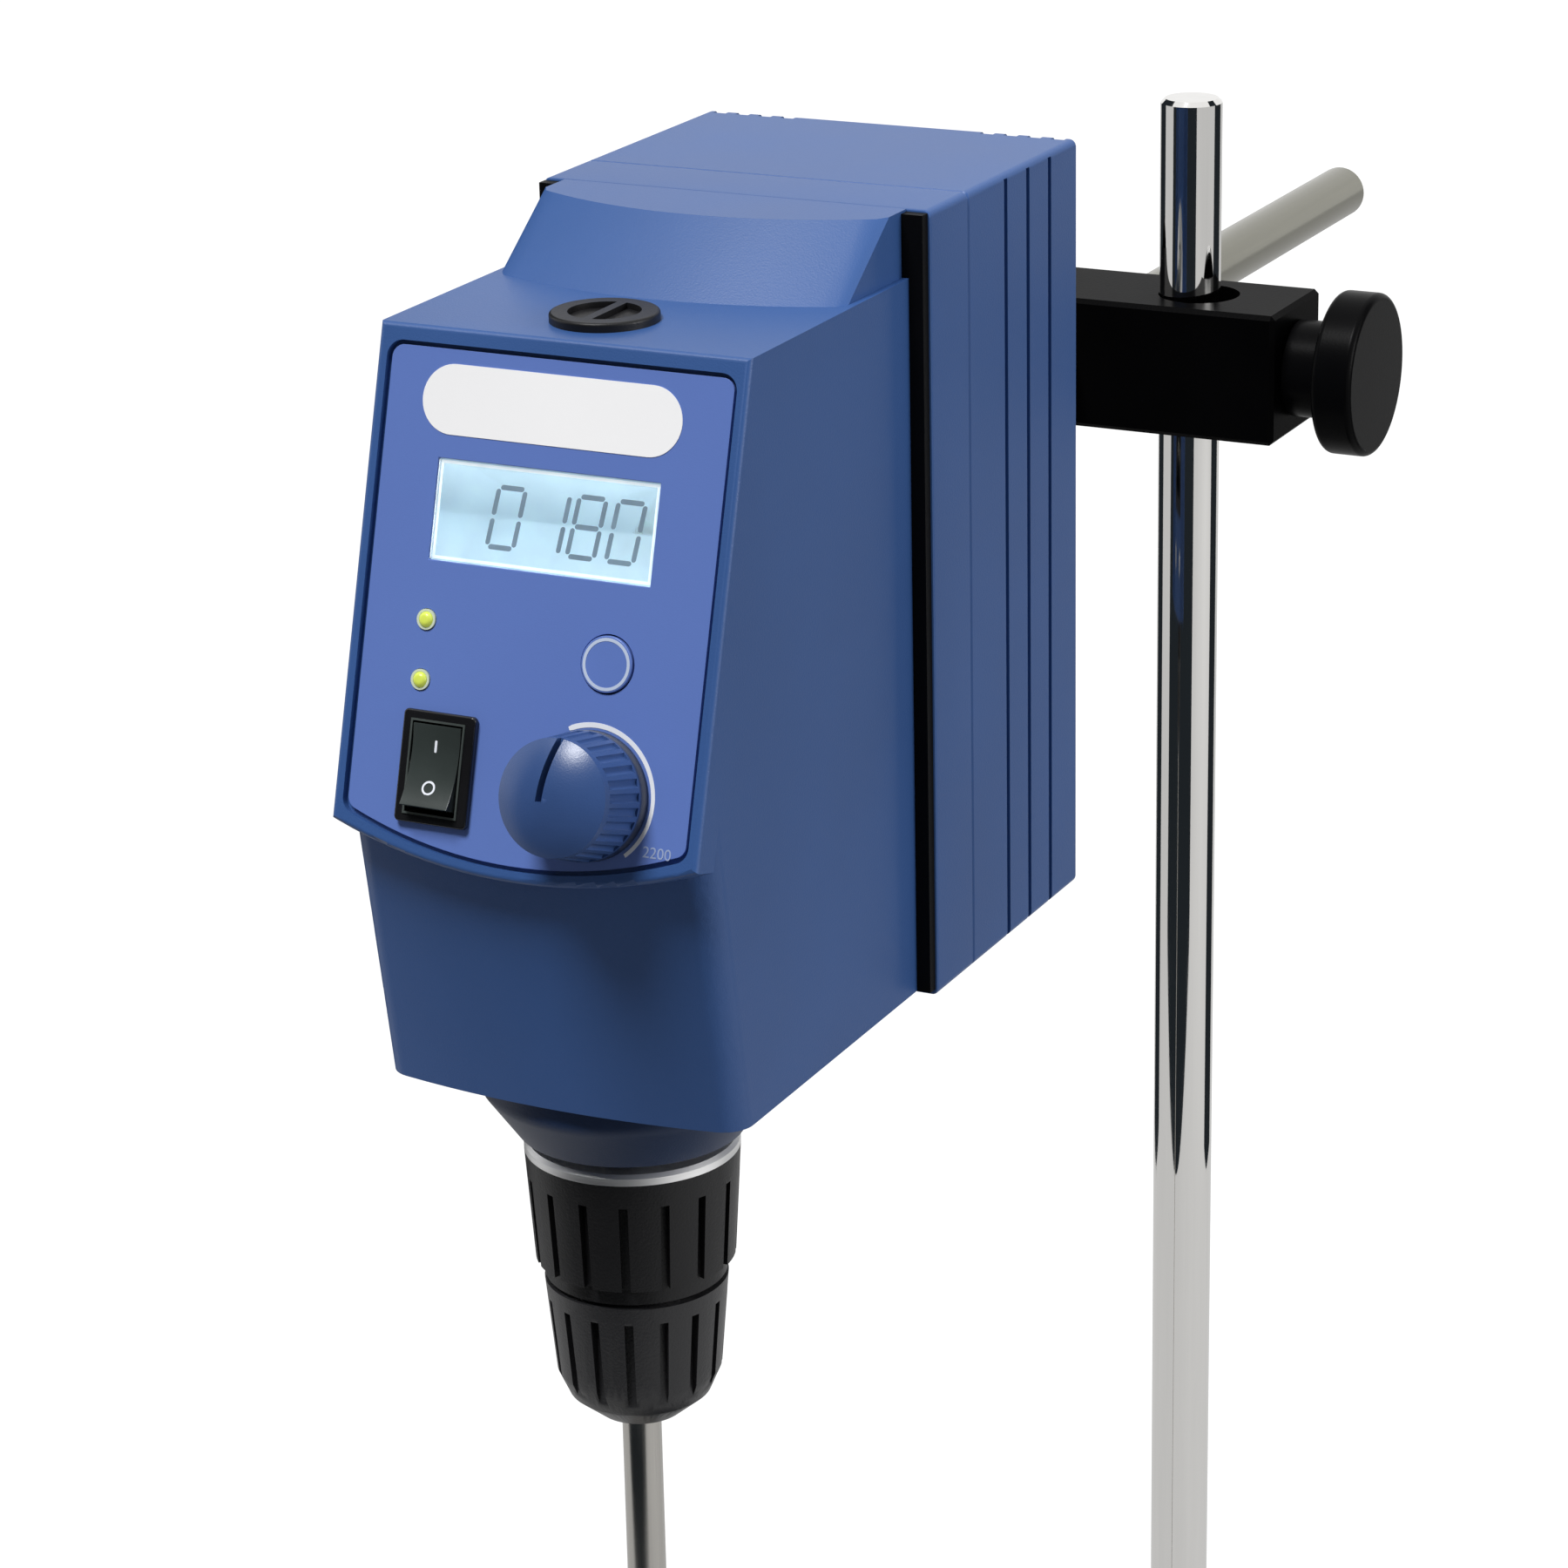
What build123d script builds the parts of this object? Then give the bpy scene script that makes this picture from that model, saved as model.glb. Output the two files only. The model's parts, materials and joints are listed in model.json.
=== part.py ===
from build123d import *
import os
from math import atan2, cos, degrees, pi, radians, sin, tan

# Overhead stirrer: a motor head with a keyless chuck, held on a rod stand by a boss-head clamp.
# Origin: centre of the stand rod's foot, on the bench. +Z runs up the rod, the control panel faces -Y,
# and +X is on the right hand of someone facing the panel. All lengths are in millimetres.

# ---------------------------------------------------------------- driving dimensions

# Stand
plate_width = 220
plate_front = 266
plate_rear = 50
plate_thickness = 12
plate_corner = 14
plate_edge = 2
rod_diameter = 14
rod_top = 629
rod_chamfer = 1
spigot_diameter = 10
spigot_clearance = 0.2
foot_nut_width = 17
foot_nut_height = 5
foot_nut_seat_diameter = 26
foot_nut_seat_depth = 6.5

# Boss-head clamp
boss_width = 80
boss_depth = 30
boss_height = 30
boss_chamfer = 1
boss_end = 26
rod_bore_diameter = 18.6
arm_bore_diameter = 17
slide_clearance = 0.05
screw_diameter = 8
screw_clearance = 0.08
screw_tip_gap = 0.2
clamp_hub_diameter = 22
clamp_hub_length = 9.5
clamp_hub_gap = 0.3
clamp_disc_diameter = 37
clamp_disc_thickness = 9.5
clamp_disc_round = 1.5
clamp_socket_depth = 14

# Head: overall
head_top = 640
head_width = 85
head_height = 162.5
back_depth = 126
wall = 3
corner_round = 1.5
spindle_reach = 226
arm_offset = 28
arm_diameter = 13
arm_length = 297
arm_inside = 18
arm_inlet_spacing = 50
flange_diameter = 34
flange_thickness = 6
arm_block_width = 44
arm_block_height = 40

# Head: front housing
front_width = 78
floor_step = 1.5
front_rear = 51
shoulder_drop = 13
shoulder_front = 16.5
panel_tilt = 16.5
rim_bow = 7
rim_round = 1.2
lip_depth = 4.5
rim_depth = 7
rim_overhang = 5.74
chin_length = 57.8
chin_bow = 4
chin_corner = 6
chin_slope = 0.164
raised_width = 75
raised_foot_side = 25.5
raised_foot_bow = 8
raised_top_side = 44
raised_top_bow = 10
raised_hollow_depth = 8
raised_corner = 1.7

# Head: spacer frame, middle housing and rear cover
spacer_thickness = 2.5
spacer_inset = 0.5
spacer_opening_width = 70
spacer_lip = 3
middle_depth = 18
seam_bevel = 0.5
side_groove_start = 18
side_groove_pitch = 11
side_groove_count = 3
side_groove_width = 1.6
side_groove_depth = 1.2
side_groove_margin = 1
back_groove_start = 23
back_groove_pitch = 5.3
back_groove_count = 4
back_groove_width = 3
back_groove_depth = 2.2
cover_screw_diameter = 4
cover_screw_head = 7
cover_screw_head_height = 2.4
cover_screw_length = 12
cover_screw_x = 13
cover_screw_inset_z = 16

# Power inlet on the rear cover
inlet_width = 28
inlet_height = 21
inlet_depth = 19
inlet_wall = 2
inlet_rise = 41.5
inlet_flange = 3
inlet_flange_thickness = 1.6
inlet_floor = 3
pin_width = 2
pin_height = 4
pin_length = 9
pin_pitch = 7

# Control panel
panel_top_margin = 3.8
panel_width = 72
panel_foot_margin = 3
panel_bow = 7
panel_corner = 2.5
panel_thickness = 1
panel_gap = 0.4
sheet_gap = 0.8
panel_recess = 1.6
# Places of the controls, as shares of the panel's length down the slope.
display_row = 0.37
light_upper_row = 0.598
button_row = 0.64
light_lower_row = 0.7225
rocker_row = 0.9
knob_row = 0.909
display_x = -0.4
display_width = 46.9
display_height = 19.1
display_glass = 0.9
display_module_margin = 2
display_module_depth = 4.8
light_x = -22.9
light_diameter = 4
light_stand_out = 0.7
light_collar = 1
button_x = 16
button_diameter = 10.6
button_gap = 0.25
button_stand_out = 0.5
button_travel_room = 0.8
tact_width = 6
board_gap = 6.5
board_thickness = 1.6
board_width = 60
board_top = 10
board_foot_margin = 5

# Power rocker
rocker_x = -17.2
rocker_frame_width = 15.5
rocker_frame_height = 21.3
rocker_frame_stand_out = 1.6
rocker_frame_corner = 1
rocker_body_width = 13
rocker_body_height = 18.8
rocker_body_depth = 17
rocker_pocket_width = 10.8
rocker_pocket_height = 17.2
rocker_pocket_depth = 12
rocker_side_gap = 0.3
rocker_length = 15.6
rocker_crown = 3.4
rocker_valley = 2
rocker_tilt = 9
rocker_hub_radius = 4
rocker_pivot_diameter = 2.4
rocker_pivot_end = 6.1

# Speed knob
knob_x = 15.2
knob_base_diameter = 24.4
knob_front_diameter = 22
knob_height = 18
knob_dome = 3.2
knob_skirt = 2.5
knob_gap = 0.4
knob_flutes = 28
knob_flute_diameter = 2
knob_flute_depth = 0.6
knob_flute_start = 0.8
knob_flute_end = 1.4
knob_pointer_angle = 14.6
knob_pointer_width = 1.3
knob_pointer_tail = 0.8
knob_pointer_depth = 0.9
knob_socket_depth = 12
knob_shaft_diameter = 6
knob_shaft_clearance = 0.08
potentiometer_diameter = 16
potentiometer_depth = 8
knob_shaft_floor = 1.5
bushing_diameter = 9
bushing_nut_height = 1.4
bushing_nut_margin = 1

# Top cap
cap_diameter = 21
cap_height = 1.8
cap_plug_diameter = 13.6
cap_plug_length = 6
cap_plug_clearance = 0.1
cap_dish_diameter = 14
cap_dish_depth = 1.2
cap_rib = 2
cap_plug_wall = 1.5

# Spindle, gearbox and motor
collar_top_diameter = 60
collar_bottom_diameter = 46
collar_height = 15
collar_spigot_diameter = 40
collar_bore_gap = 1
collar_round = 4
spindle_diameter = 15
spindle_bore = 10.8
spindle_top_gap = 6
bearing_diameter = 32
bearing_shoulder = 2.2
running_clearance = 0.05
gear_plate_width = 64
gear_plate_front = 21
gear_plate_rear = 90
gear_plate_thickness = 8
gear_plate_space = 30
post_diameter = 8
post_x = 26
post_front = 14
post_rear = 84
gear_module = 1.5
spindle_gear_teeth = 30
idler_small_teeth = 12
idler_large_teeth = 26
pinion_teeth = 12
gear_width = 10
gear_gap = 2
gear_backlash = 0.5
gear_addendum = 0.95
gear_dedendum = 1.2
tooth_tip_slope = 22
tooth_root_slope = 15
idler_pin_diameter = 6
motor_diameter = 56
motor_height = 60
motor_edge = 2
motor_shaft_diameter = 6
motor_shaft_hole = 9
driver_board_width = 60
driver_board_inlet_gap = 5.5
driver_board_thickness = 1.6
driver_board_standoff = 4
driver_board_drop = 29
board_cutout_gap = 2
board_leg = 4

# Chuck
chuck_gap = 2.5
chuck_length = 60.3
ring_diameter = 43.2
ring_thickness = 2.2
rear_sleeve_bottom_diameter = 40.2
rear_sleeve_lip_diameter = 36.6
rear_sleeve_lip_height = 3.6
rear_sleeve_band = 5
sleeve_seam = 1
front_sleeve_height = 30
front_sleeve_top_diameter = 37
front_sleeve_bottom_diameter = 33.4
front_sleeve_wall_height = 9.9
nose_shoulder_diameter = 29
nose_shoulder_height = 4.8
nose_end_diameter = 17.6
nose_opening_diameter = 15.6
nose_wall = 1.6
nose_floor_height = 1.8
sleeve_bore_diameter = 28.9
sleeve_clearance = 0.35
flute_count = 16
flute_width = 1.8
rear_flute_diameter = 37.8
front_flute_diameter = 31.2
chuck_body_diameter = 28.4
chuck_bore = 10.6
chuck_socket_height = 36
jaw_diameter = 5.8
jaw_clearance = 0.05
jaw_angle = 15
jaw_tip_height = 2
jaw_tip_radius = 4.2
jaw_length = 21
jaw_travel = 3.6
jaw_end_room = 1
nut_height = 6.2
nut_bottom_height = 15.9
nut_gap = 0.12
grip_clearance = 0.02

# Stirring shaft and propeller
shaft_diameter = 8
shaft_foot_gap = 59.2
shaft_grip = 70
shaft_chamfer = 0.8
propeller_diameter = 50
propeller_hub_diameter = 14
propeller_hub_height = 12
blade_count = 4
blade_pitch = 45
blade_width = 13
blade_thickness = 1.6
propeller_clearance = 0.02

# ---------------------------------------------------------------- reference frames

spindle_x = -arm_offset
spindle_y = -spindle_reach
panel_angle = radians(panel_tilt)
front_height = head_height - floor_step
rim_side_length = (front_height - shoulder_drop - chin_length) / cos(panel_angle)
rim_foot = shoulder_front + rim_side_length * sin(panel_angle)
chin_front = rim_foot - rim_overhang - chin_slope * chin_length
panel_side_length = rim_side_length - panel_foot_margin
display_y = -display_row * panel_side_length
light_upper_y = -light_upper_row * panel_side_length
light_lower_y = -light_lower_row * panel_side_length
button_y = -button_row * panel_side_length
rocker_y = -rocker_row * panel_side_length
knob_y = -knob_row * panel_side_length
board_bottom = panel_side_length - board_foot_margin
inlet_drop = head_height - inlet_rise
arm_drop = inlet_drop - arm_inlet_spacing
arm_z = head_top - arm_drop
boss_right = boss_end
boss_left = boss_end - boss_width
spacer_rear = front_rear + spacer_thickness
middle_rear = spacer_rear + middle_depth
collar_bottom = front_height + collar_height
chuck_top = collar_bottom + chuck_gap
chuck_bottom = chuck_top + chuck_length
gear_floor = front_height - wall
shaft_length = head_top - chuck_bottom + shaft_grip - plate_thickness - shaft_foot_gap

# Head frame: on the spindle axis at the level of the head's top face.
head = Plane(origin=(spindle_x, spindle_y, head_top))
# Side view of the head: local x runs to the rear, local y runs up.
side = Plane(origin=head.origin, x_dir=(0, 1, 0), z_dir=(1, 0, 0))
# Front view of the head: local x runs right, local y runs up.
front = Plane(origin=head.origin, x_dir=(1, 0, 0), z_dir=(0, -1, 0))
spindle_axis = Axis(head.origin, (0, 0, 1))
# Control panel: local y runs up the slope, local z stands out of the panel.
panel = Plane(
    origin=(spindle_x, spindle_y - shoulder_front, head_top - shoulder_drop),
    x_dir=(1, 0, 0),
    z_dir=(0, -cos(panel_angle), sin(panel_angle)),
)


def panel_spot(x, y, stand_out=0):
    """Plane parallel to the panel, centred at a point of it."""
    return Plane(
        origin=panel.from_local_coords((x, y, stand_out)),
        x_dir=panel.x_dir,
        z_dir=panel.z_dir,
    )


def section(plane):
    """Section plane through a plane's normal: local y runs along that normal."""
    return Plane(origin=plane.origin, x_dir=plane.x_dir, z_dir=-plane.y_dir)


def below_top(drop):
    """Horizontal plane on the spindle axis, a drop below the head's top face."""
    return head.offset(-drop)


def above_nose(height):
    """Horizontal plane on the spindle axis, a height above the chuck's nose end."""
    return head.offset(height - chuck_bottom)


def finish(item, label):
    """Label a finished piece and write it."""
    item.part.label = label
    export_step(item.part, f"parts/{label}.step")


def bowed_outline(plane, width, rear, front_side, bow, corner, soften=fillet):
    """Plan outline: straight rear and sides, front edge bowed forward, front corners rounded or cut."""
    half = width / 2
    with BuildSketch(plane) as outline:
        with BuildLine():
            Polyline((-half, front_side), (-half, rear), (half, rear), (half, front_side))
            ThreePointArc((-half, front_side), (0, front_side - bow), (half, front_side))
        make_face()
        soften(outline.vertices().group_by(Axis.Y)[0], corner)
    return outline.sketch


def panel_outline(plane, width, top, side_length, bow, grow=0, corner=0):
    """Panel outline: straight top and sides, bottom edge bowed downwards."""
    half = width / 2 + grow
    upper = grow - top
    lower = -side_length - grow
    with BuildSketch(plane) as outline:
        with BuildLine():
            Polyline((-half, lower), (-half, upper), (half, upper), (half, lower))
            ThreePointArc((-half, lower), (0, lower - bow), (half, lower))
        make_face()
        if corner:
            fillet(outline.vertices(), radius=corner)
    return outline.sketch


os.makedirs("parts", exist_ok=True)

# ---------------------------------------------------------------- stand

plate_length = plate_front + plate_rear
plate_centre = (plate_rear - plate_front) / 2

with BuildPart() as base_plate:
    with BuildSketch():
        with Locations((0, plate_centre)):
            RectangleRounded(plate_width, plate_length, plate_corner)
    extrude(amount=plate_thickness)
    chamfer(base_plate.faces().sort_by(Axis.Z)[-1].edges(), length=plate_edge)
    with BuildSketch():
        Circle(foot_nut_seat_diameter / 2)
    extrude(amount=foot_nut_seat_depth, mode=Mode.SUBTRACT)
    with BuildSketch():
        Circle(spigot_diameter / 2 + spigot_clearance)
    extrude(amount=plate_thickness, mode=Mode.SUBTRACT)
finish(base_plate, "base_plate")

foot_nut_bottom = foot_nut_seat_depth - foot_nut_height

with BuildPart() as stand_rod:
    with BuildSketch(Plane.XY.offset(plate_thickness)):
        Circle(rod_diameter / 2)
    extrude(amount=rod_top - plate_thickness)
    chamfer(stand_rod.edges().sort_by(Axis.Z)[-1], length=rod_chamfer)
    with BuildSketch(Plane.XY.offset(foot_nut_bottom)):
        Circle(spigot_diameter / 2)
    extrude(amount=plate_thickness - foot_nut_bottom)
finish(stand_rod, "stand_rod")

with BuildPart() as rod_nut:
    with BuildSketch(Plane.XY.offset(foot_nut_bottom)):
        RegularPolygon(foot_nut_width / 2, 6, major_radius=False)
        Circle(spigot_diameter / 2 + running_clearance, mode=Mode.SUBTRACT)
    extrude(amount=foot_nut_height)
finish(rod_nut, "rod_nut")

# ---------------------------------------------------------------- boss-head clamp

# Each bore is wider than its bar, and its screw presses the bar against the far side.
rod_bore_x = rod_bore_diameter / 2 - rod_diameter / 2 - slide_clearance
arm_bore_x = spindle_x - (arm_bore_diameter / 2 - arm_diameter / 2 - slide_clearance)
boss_centre_x = (boss_left + boss_right) / 2
clamp_row = Plane(origin=(0, 0, arm_z), x_dir=(0, 1, 0), z_dir=(1, 0, 0))

with BuildPart() as boss_head:
    with BuildSketch(Plane.XY.offset(arm_z - boss_height / 2)):
        with Locations((boss_centre_x, 0)):
            Rectangle(boss_width, boss_depth)
    extrude(amount=boss_height)
    chamfer(boss_head.edges(), length=boss_chamfer)
    with BuildSketch(Plane.XY.offset(arm_z - boss_height / 2)):
        with Locations((rod_bore_x, 0)):
            Circle(rod_bore_diameter / 2)
    extrude(amount=boss_height, mode=Mode.SUBTRACT)
    with BuildSketch(Plane.XZ.offset(-boss_depth / 2)):
        with Locations((arm_bore_x, arm_z)):
            Circle(arm_bore_diameter / 2)
    extrude(amount=boss_depth, mode=Mode.SUBTRACT)
    with BuildSketch(clamp_row.offset(rod_bore_x)):
        Circle(screw_diameter / 2 + screw_clearance)
    extrude(amount=boss_right - rod_bore_x, mode=Mode.SUBTRACT)
    with BuildSketch(clamp_row.offset(boss_left)):
        Circle(screw_diameter / 2 + screw_clearance)
    extrude(amount=arm_bore_x - boss_left, mode=Mode.SUBTRACT)
finish(boss_head, "boss_head")


def clamp_screw(tip, end, label):
    """Screw stud along X, from its tip near the bar to its end inside the knob."""
    with BuildPart() as stud:
        with BuildSketch(clamp_row.offset(min(tip, end))):
            Circle(screw_diameter / 2)
        extrude(amount=abs(end - tip))
    finish(stud, label)


def clamp_knob(face, outward, label):
    """Disc knob on a hub: face is the boss head's end, outward is +1 or -1 along X."""
    seat = Plane(origin=(face + outward * clamp_hub_gap, 0, arm_z), x_dir=(0, 1, 0), z_dir=(outward, 0, 0))
    disc_radius = clamp_disc_diameter / 2
    with BuildPart() as knob:
        with BuildSketch(seat):
            Circle(clamp_hub_diameter / 2)
        extrude(amount=clamp_hub_length)
        with BuildSketch(seat.offset(clamp_hub_length)):
            Circle(disc_radius)
        extrude(amount=clamp_disc_thickness)
        fillet(knob.edges().filter_by(GeomType.CIRCLE).sort_by(SortBy.RADIUS)[-2:], radius=clamp_disc_round)
        with BuildSketch(seat):
            Circle(screw_diameter / 2 + running_clearance)
        extrude(amount=clamp_socket_depth, mode=Mode.SUBTRACT)
    finish(knob, label)


knob_socket_end = clamp_hub_gap + clamp_socket_depth
clamp_screw(rod_diameter / 2 + screw_tip_gap, boss_right + knob_socket_end, "rod_clamp_screw")
clamp_screw(spindle_x - arm_diameter / 2 - screw_tip_gap, boss_left - knob_socket_end, "arm_clamp_screw")
clamp_knob(boss_right, 1, "rod_clamp_knob")
clamp_knob(boss_left, -1, "arm_clamp_knob")

# ---------------------------------------------------------------- mounting arm on the head's back

back_y = spindle_y + back_depth
arm_axis = Plane(origin=(spindle_x, back_y, arm_z), x_dir=(-1, 0, 0), z_dir=(0, 1, 0))

with BuildPart() as mounting_arm:
    with BuildSketch(arm_axis.offset(-arm_inside)):
        Circle(arm_diameter / 2)
    extrude(amount=arm_length)
    chamfer(mounting_arm.edges().sort_by(Axis.Y)[-1], length=rod_chamfer)
finish(mounting_arm, "mounting_arm")

with BuildPart() as arm_flange:
    with BuildSketch(arm_axis):
        Circle(flange_diameter / 2)
        Circle(arm_diameter / 2 + running_clearance, mode=Mode.SUBTRACT)
    extrude(amount=flange_thickness)
    chamfer(arm_flange.edges().filter_by(GeomType.CIRCLE).sort_by(Axis.Y)[-1], length=rod_chamfer)
finish(arm_flange, "arm_flange")

with BuildPart() as arm_block:
    with BuildSketch(arm_axis.offset(-arm_inside)):
        Rectangle(arm_block_width, arm_block_height)
        Circle(arm_diameter / 2 + running_clearance, mode=Mode.SUBTRACT)
    extrude(amount=arm_inside - wall)
finish(arm_block, "arm_block")

# ---------------------------------------------------------------- front housing

panel_rise = tan(panel_angle)
chin_height = front_height - shoulder_drop
chin_lean = Vector(0, -chin_slope, 1)
housing_inner_width = front_width - 2 * wall
panel_wall_back = panel_recess + wall
chin_inner_front = -chin_front + wall
# Drop at which the inner faces of the panel wall and the chin meet.
chin_meets_panel = (
    chin_slope * front_height - chin_inner_front
    + panel_rise * shoulder_drop - shoulder_front + panel_wall_back / cos(panel_angle)
) / (panel_rise + chin_slope)


def panel_line(inset, drop):
    """Reach of a plane inset behind the panel, measured at a drop below the head's top."""
    return -shoulder_front + inset / cos(panel_angle) - (drop - shoulder_drop) * panel_rise


def chin_line(drop):
    """Reach of the chin's inner face at a drop below the head's top."""
    return chin_inner_front - chin_slope * (front_height - drop)


with BuildPart() as panel_rim:
    # The rim's top is level with the shoulder.
    extrude(
        panel_outline(panel, front_width, -rim_depth * panel_rise, rim_side_length, rim_bow),
        amount=-rim_depth,
    )
    split(bisect_by=below_top(shoulder_drop), keep=Keep.BOTTOM)
    rim_face = panel_rim.faces().filter_by(panel).sort_by(Axis.Y)[0]
    fillet(rim_face.outer_wire().edges(), radius=rim_round)

with BuildPart() as front_housing:
    # Wedge behind the panel's slope, set back by the depth of the rim.
    with BuildSketch(side):
        with BuildLine():
            Polyline(
                (front_rear, -shoulder_drop),
                (panel_line(lip_depth, shoulder_drop), -shoulder_drop),
                (panel_line(lip_depth, front_height), -front_height),
                (front_rear, -front_height),
                close=True,
            )
        make_face()
    extrude(amount=front_width / 2, both=True)
    # Chin: bowed in plan, leaning forward up to the rim.
    extrude(
        bowed_outline(
            below_top(front_height),
            front_width,
            front_rear + chin_height,
            -chin_front,
            chin_bow,
            chin_corner,
        ),
        amount=chin_height * chin_lean.length,
        dir=chin_lean.normalized(),
        mode=Mode.INTERSECT,
    )
    # Rim round the panel.
    add(panel_rim.part)
    # Raised rear part of the top, with a leaning bowed front.
    loft(
        [
            bowed_outline(
                below_top(shoulder_drop),
                raised_width,
                front_rear,
                raised_foot_side,
                raised_foot_bow,
                raised_corner,
                chamfer,
            ),
            bowed_outline(
                head,
                raised_width,
                front_rear,
                raised_top_side,
                raised_top_bow,
                raised_corner,
                chamfer,
            ),
        ]
    )
    # Hollow inside, open to the rear.
    with BuildSketch(side):
        with BuildLine():
            Polyline(
                (front_rear, -shoulder_drop - wall),
                (panel_line(panel_wall_back, shoulder_drop + wall), -shoulder_drop - wall),
                (chin_line(chin_meets_panel), -chin_meets_panel),
                (chin_line(gear_floor), -gear_floor),
                (front_rear, -gear_floor),
                close=True,
            )
        make_face()
    extrude(amount=housing_inner_width / 2, both=True, mode=Mode.SUBTRACT)
    # Hollow under the raised part.
    with BuildSketch(below_top(shoulder_drop + wall)):
        with Locations((0, front_rear - raised_hollow_depth / 2)):
            Rectangle(raised_width - 2 * wall, raised_hollow_depth)
    extrude(amount=shoulder_drop, mode=Mode.SUBTRACT)
    # Tongue on the top that covers the spacer frame.
    with BuildSketch(below_top(spacer_lip)):
        with Locations((0, (front_rear + spacer_rear) / 2)):
            Rectangle(raised_width, spacer_thickness)
    extrude(amount=spacer_lip)
    # Recess for the panel sheet, and openings behind it.
    extrude(
        panel_outline(
            panel,
            panel_width,
            panel_top_margin,
            panel_side_length,
            panel_bow,
            sheet_gap,
            panel_corner + sheet_gap,
        ),
        amount=-panel_recess,
        mode=Mode.SUBTRACT,
    )
    with BuildSketch(panel) as panel_openings:
        with Locations((display_x, display_y)):
            Rectangle(display_width + 2 * display_module_margin, display_height + 2 * display_module_margin)
        with Locations((rocker_x, rocker_y)):
            Rectangle(rocker_body_width + panel_gap, rocker_body_height + panel_gap)
        with Locations((light_x, light_upper_y), (light_x, light_lower_y)):
            Circle(light_diameter / 2 + light_collar)
        with Locations((button_x, button_y)):
            Circle(button_diameter / 2 + button_gap + light_collar)
        with Locations((knob_x, knob_y)):
            Circle(bushing_diameter / 2 + running_clearance)
    extrude(amount=-panel_wall_back - 2 * wall, mode=Mode.SUBTRACT)
    # Cap hole in the shoulder and collar hole in the floor.
    with BuildSketch(below_top(shoulder_drop + wall)):
        Circle(cap_plug_diameter / 2 + cap_plug_clearance)
    extrude(amount=wall, mode=Mode.SUBTRACT)
    with BuildSketch(below_top(front_height)):
        Circle(collar_spigot_diameter / 2 + running_clearance)
    extrude(amount=wall, mode=Mode.SUBTRACT)
finish(front_housing, "front_housing")

# ---------------------------------------------------------------- spacer, middle housing, rear cover

def behind_spindle(reach):
    """Vertical plane facing the rear, a reach behind the spindle axis, centred on the head's top edge."""
    return Plane(origin=(spindle_x, spindle_y + reach, head_top), x_dir=(-1, 0, 0), z_dir=(0, 1, 0))


with BuildPart() as spacer_frame:
    with BuildSketch(behind_spindle(front_rear)):
        with Locations((0, -(spacer_inset + front_height) / 2)):
            Rectangle(head_width - 2 * spacer_inset, front_height - spacer_inset)
        with Locations((0, -spacer_lip / 2)):
            Rectangle(raised_width, spacer_lip, mode=Mode.SUBTRACT)
        with Locations((0, -(2 * wall + gear_floor) / 2)):
            Rectangle(spacer_opening_width, gear_floor - 2 * wall, mode=Mode.SUBTRACT)
    extrude(amount=spacer_thickness)
finish(spacer_frame, "spacer_frame")


def housing_ring(plane):
    """Rear housing outline, hung from the head's top edge."""
    with BuildSketch(plane) as outline:
        with Locations((0, -head_height / 2)):
            Rectangle(head_width, head_height)
        fillet(outline.vertices(), radius=corner_round)
    return outline.sketch


def housing_hollow(plane):
    """Hollow of the rear housing, one wall inside its outline."""
    with BuildSketch(plane) as outline:
        with Locations((0, -head_height / 2)):
            Rectangle(head_width - 2 * wall, head_height - 2 * wall)
    return outline.sketch


with BuildPart() as middle_housing:
    extrude(housing_ring(behind_spindle(spacer_rear)), amount=middle_depth)
    extrude(housing_hollow(behind_spindle(spacer_rear)), amount=middle_depth, mode=Mode.SUBTRACT)
finish(middle_housing, "middle_housing")

cover_depth = back_depth - middle_rear
arm_y = -arm_drop
back_plane = behind_spindle(back_depth)

with BuildPart() as rear_cover:
    extrude(housing_ring(behind_spindle(middle_rear)), amount=cover_depth)
    chamfer(rear_cover.faces().sort_by(Axis.Y)[0].edges(), length=seam_bevel)
    fillet(rear_cover.faces().sort_by(Axis.Y)[-1].edges(), radius=corner_round - seam_bevel)
    extrude(housing_hollow(behind_spindle(middle_rear)), amount=cover_depth - wall, mode=Mode.SUBTRACT)
    # Vertical grooves in both sides.
    with BuildSketch(below_top(head_height)):
        for index in range(side_groove_count):
            groove_y = middle_rear + side_groove_start + index * side_groove_pitch
            for hand in (-1, 1):
                with Locations((hand * head_width / 2, groove_y)):
                    Rectangle(2 * side_groove_depth, side_groove_width)
    extrude(amount=head_height - side_groove_margin, mode=Mode.SUBTRACT)
    # Two groups of vertical grooves in the back.
    with BuildSketch(below_top(head_height)):
        for index in range(back_groove_count):
            groove_x = back_groove_start + index * back_groove_pitch
            with Locations((groove_x, back_depth), (-groove_x, back_depth)):
                Rectangle(back_groove_width, 2 * back_groove_depth)
    extrude(amount=head_height, mode=Mode.SUBTRACT)
    # Holes for the arm, the inlet and the cover's screws.
    with BuildSketch(back_plane):
        with Locations((0, arm_y)):
            Circle(arm_diameter / 2 + slide_clearance)
        with Locations((0, -inlet_drop)):
            Rectangle(inlet_width, inlet_height)
    extrude(amount=-wall, mode=Mode.SUBTRACT)
    with Locations(back_plane):
        with Locations(
            (cover_screw_x, -cover_screw_inset_z),
            (-cover_screw_x, -cover_screw_inset_z),
            (cover_screw_x, cover_screw_inset_z - head_height),
            (-cover_screw_x, cover_screw_inset_z - head_height),
        ):
            Hole(cover_screw_diameter / 2 + running_clearance, depth=wall)
finish(rear_cover, "rear_cover")

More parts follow.
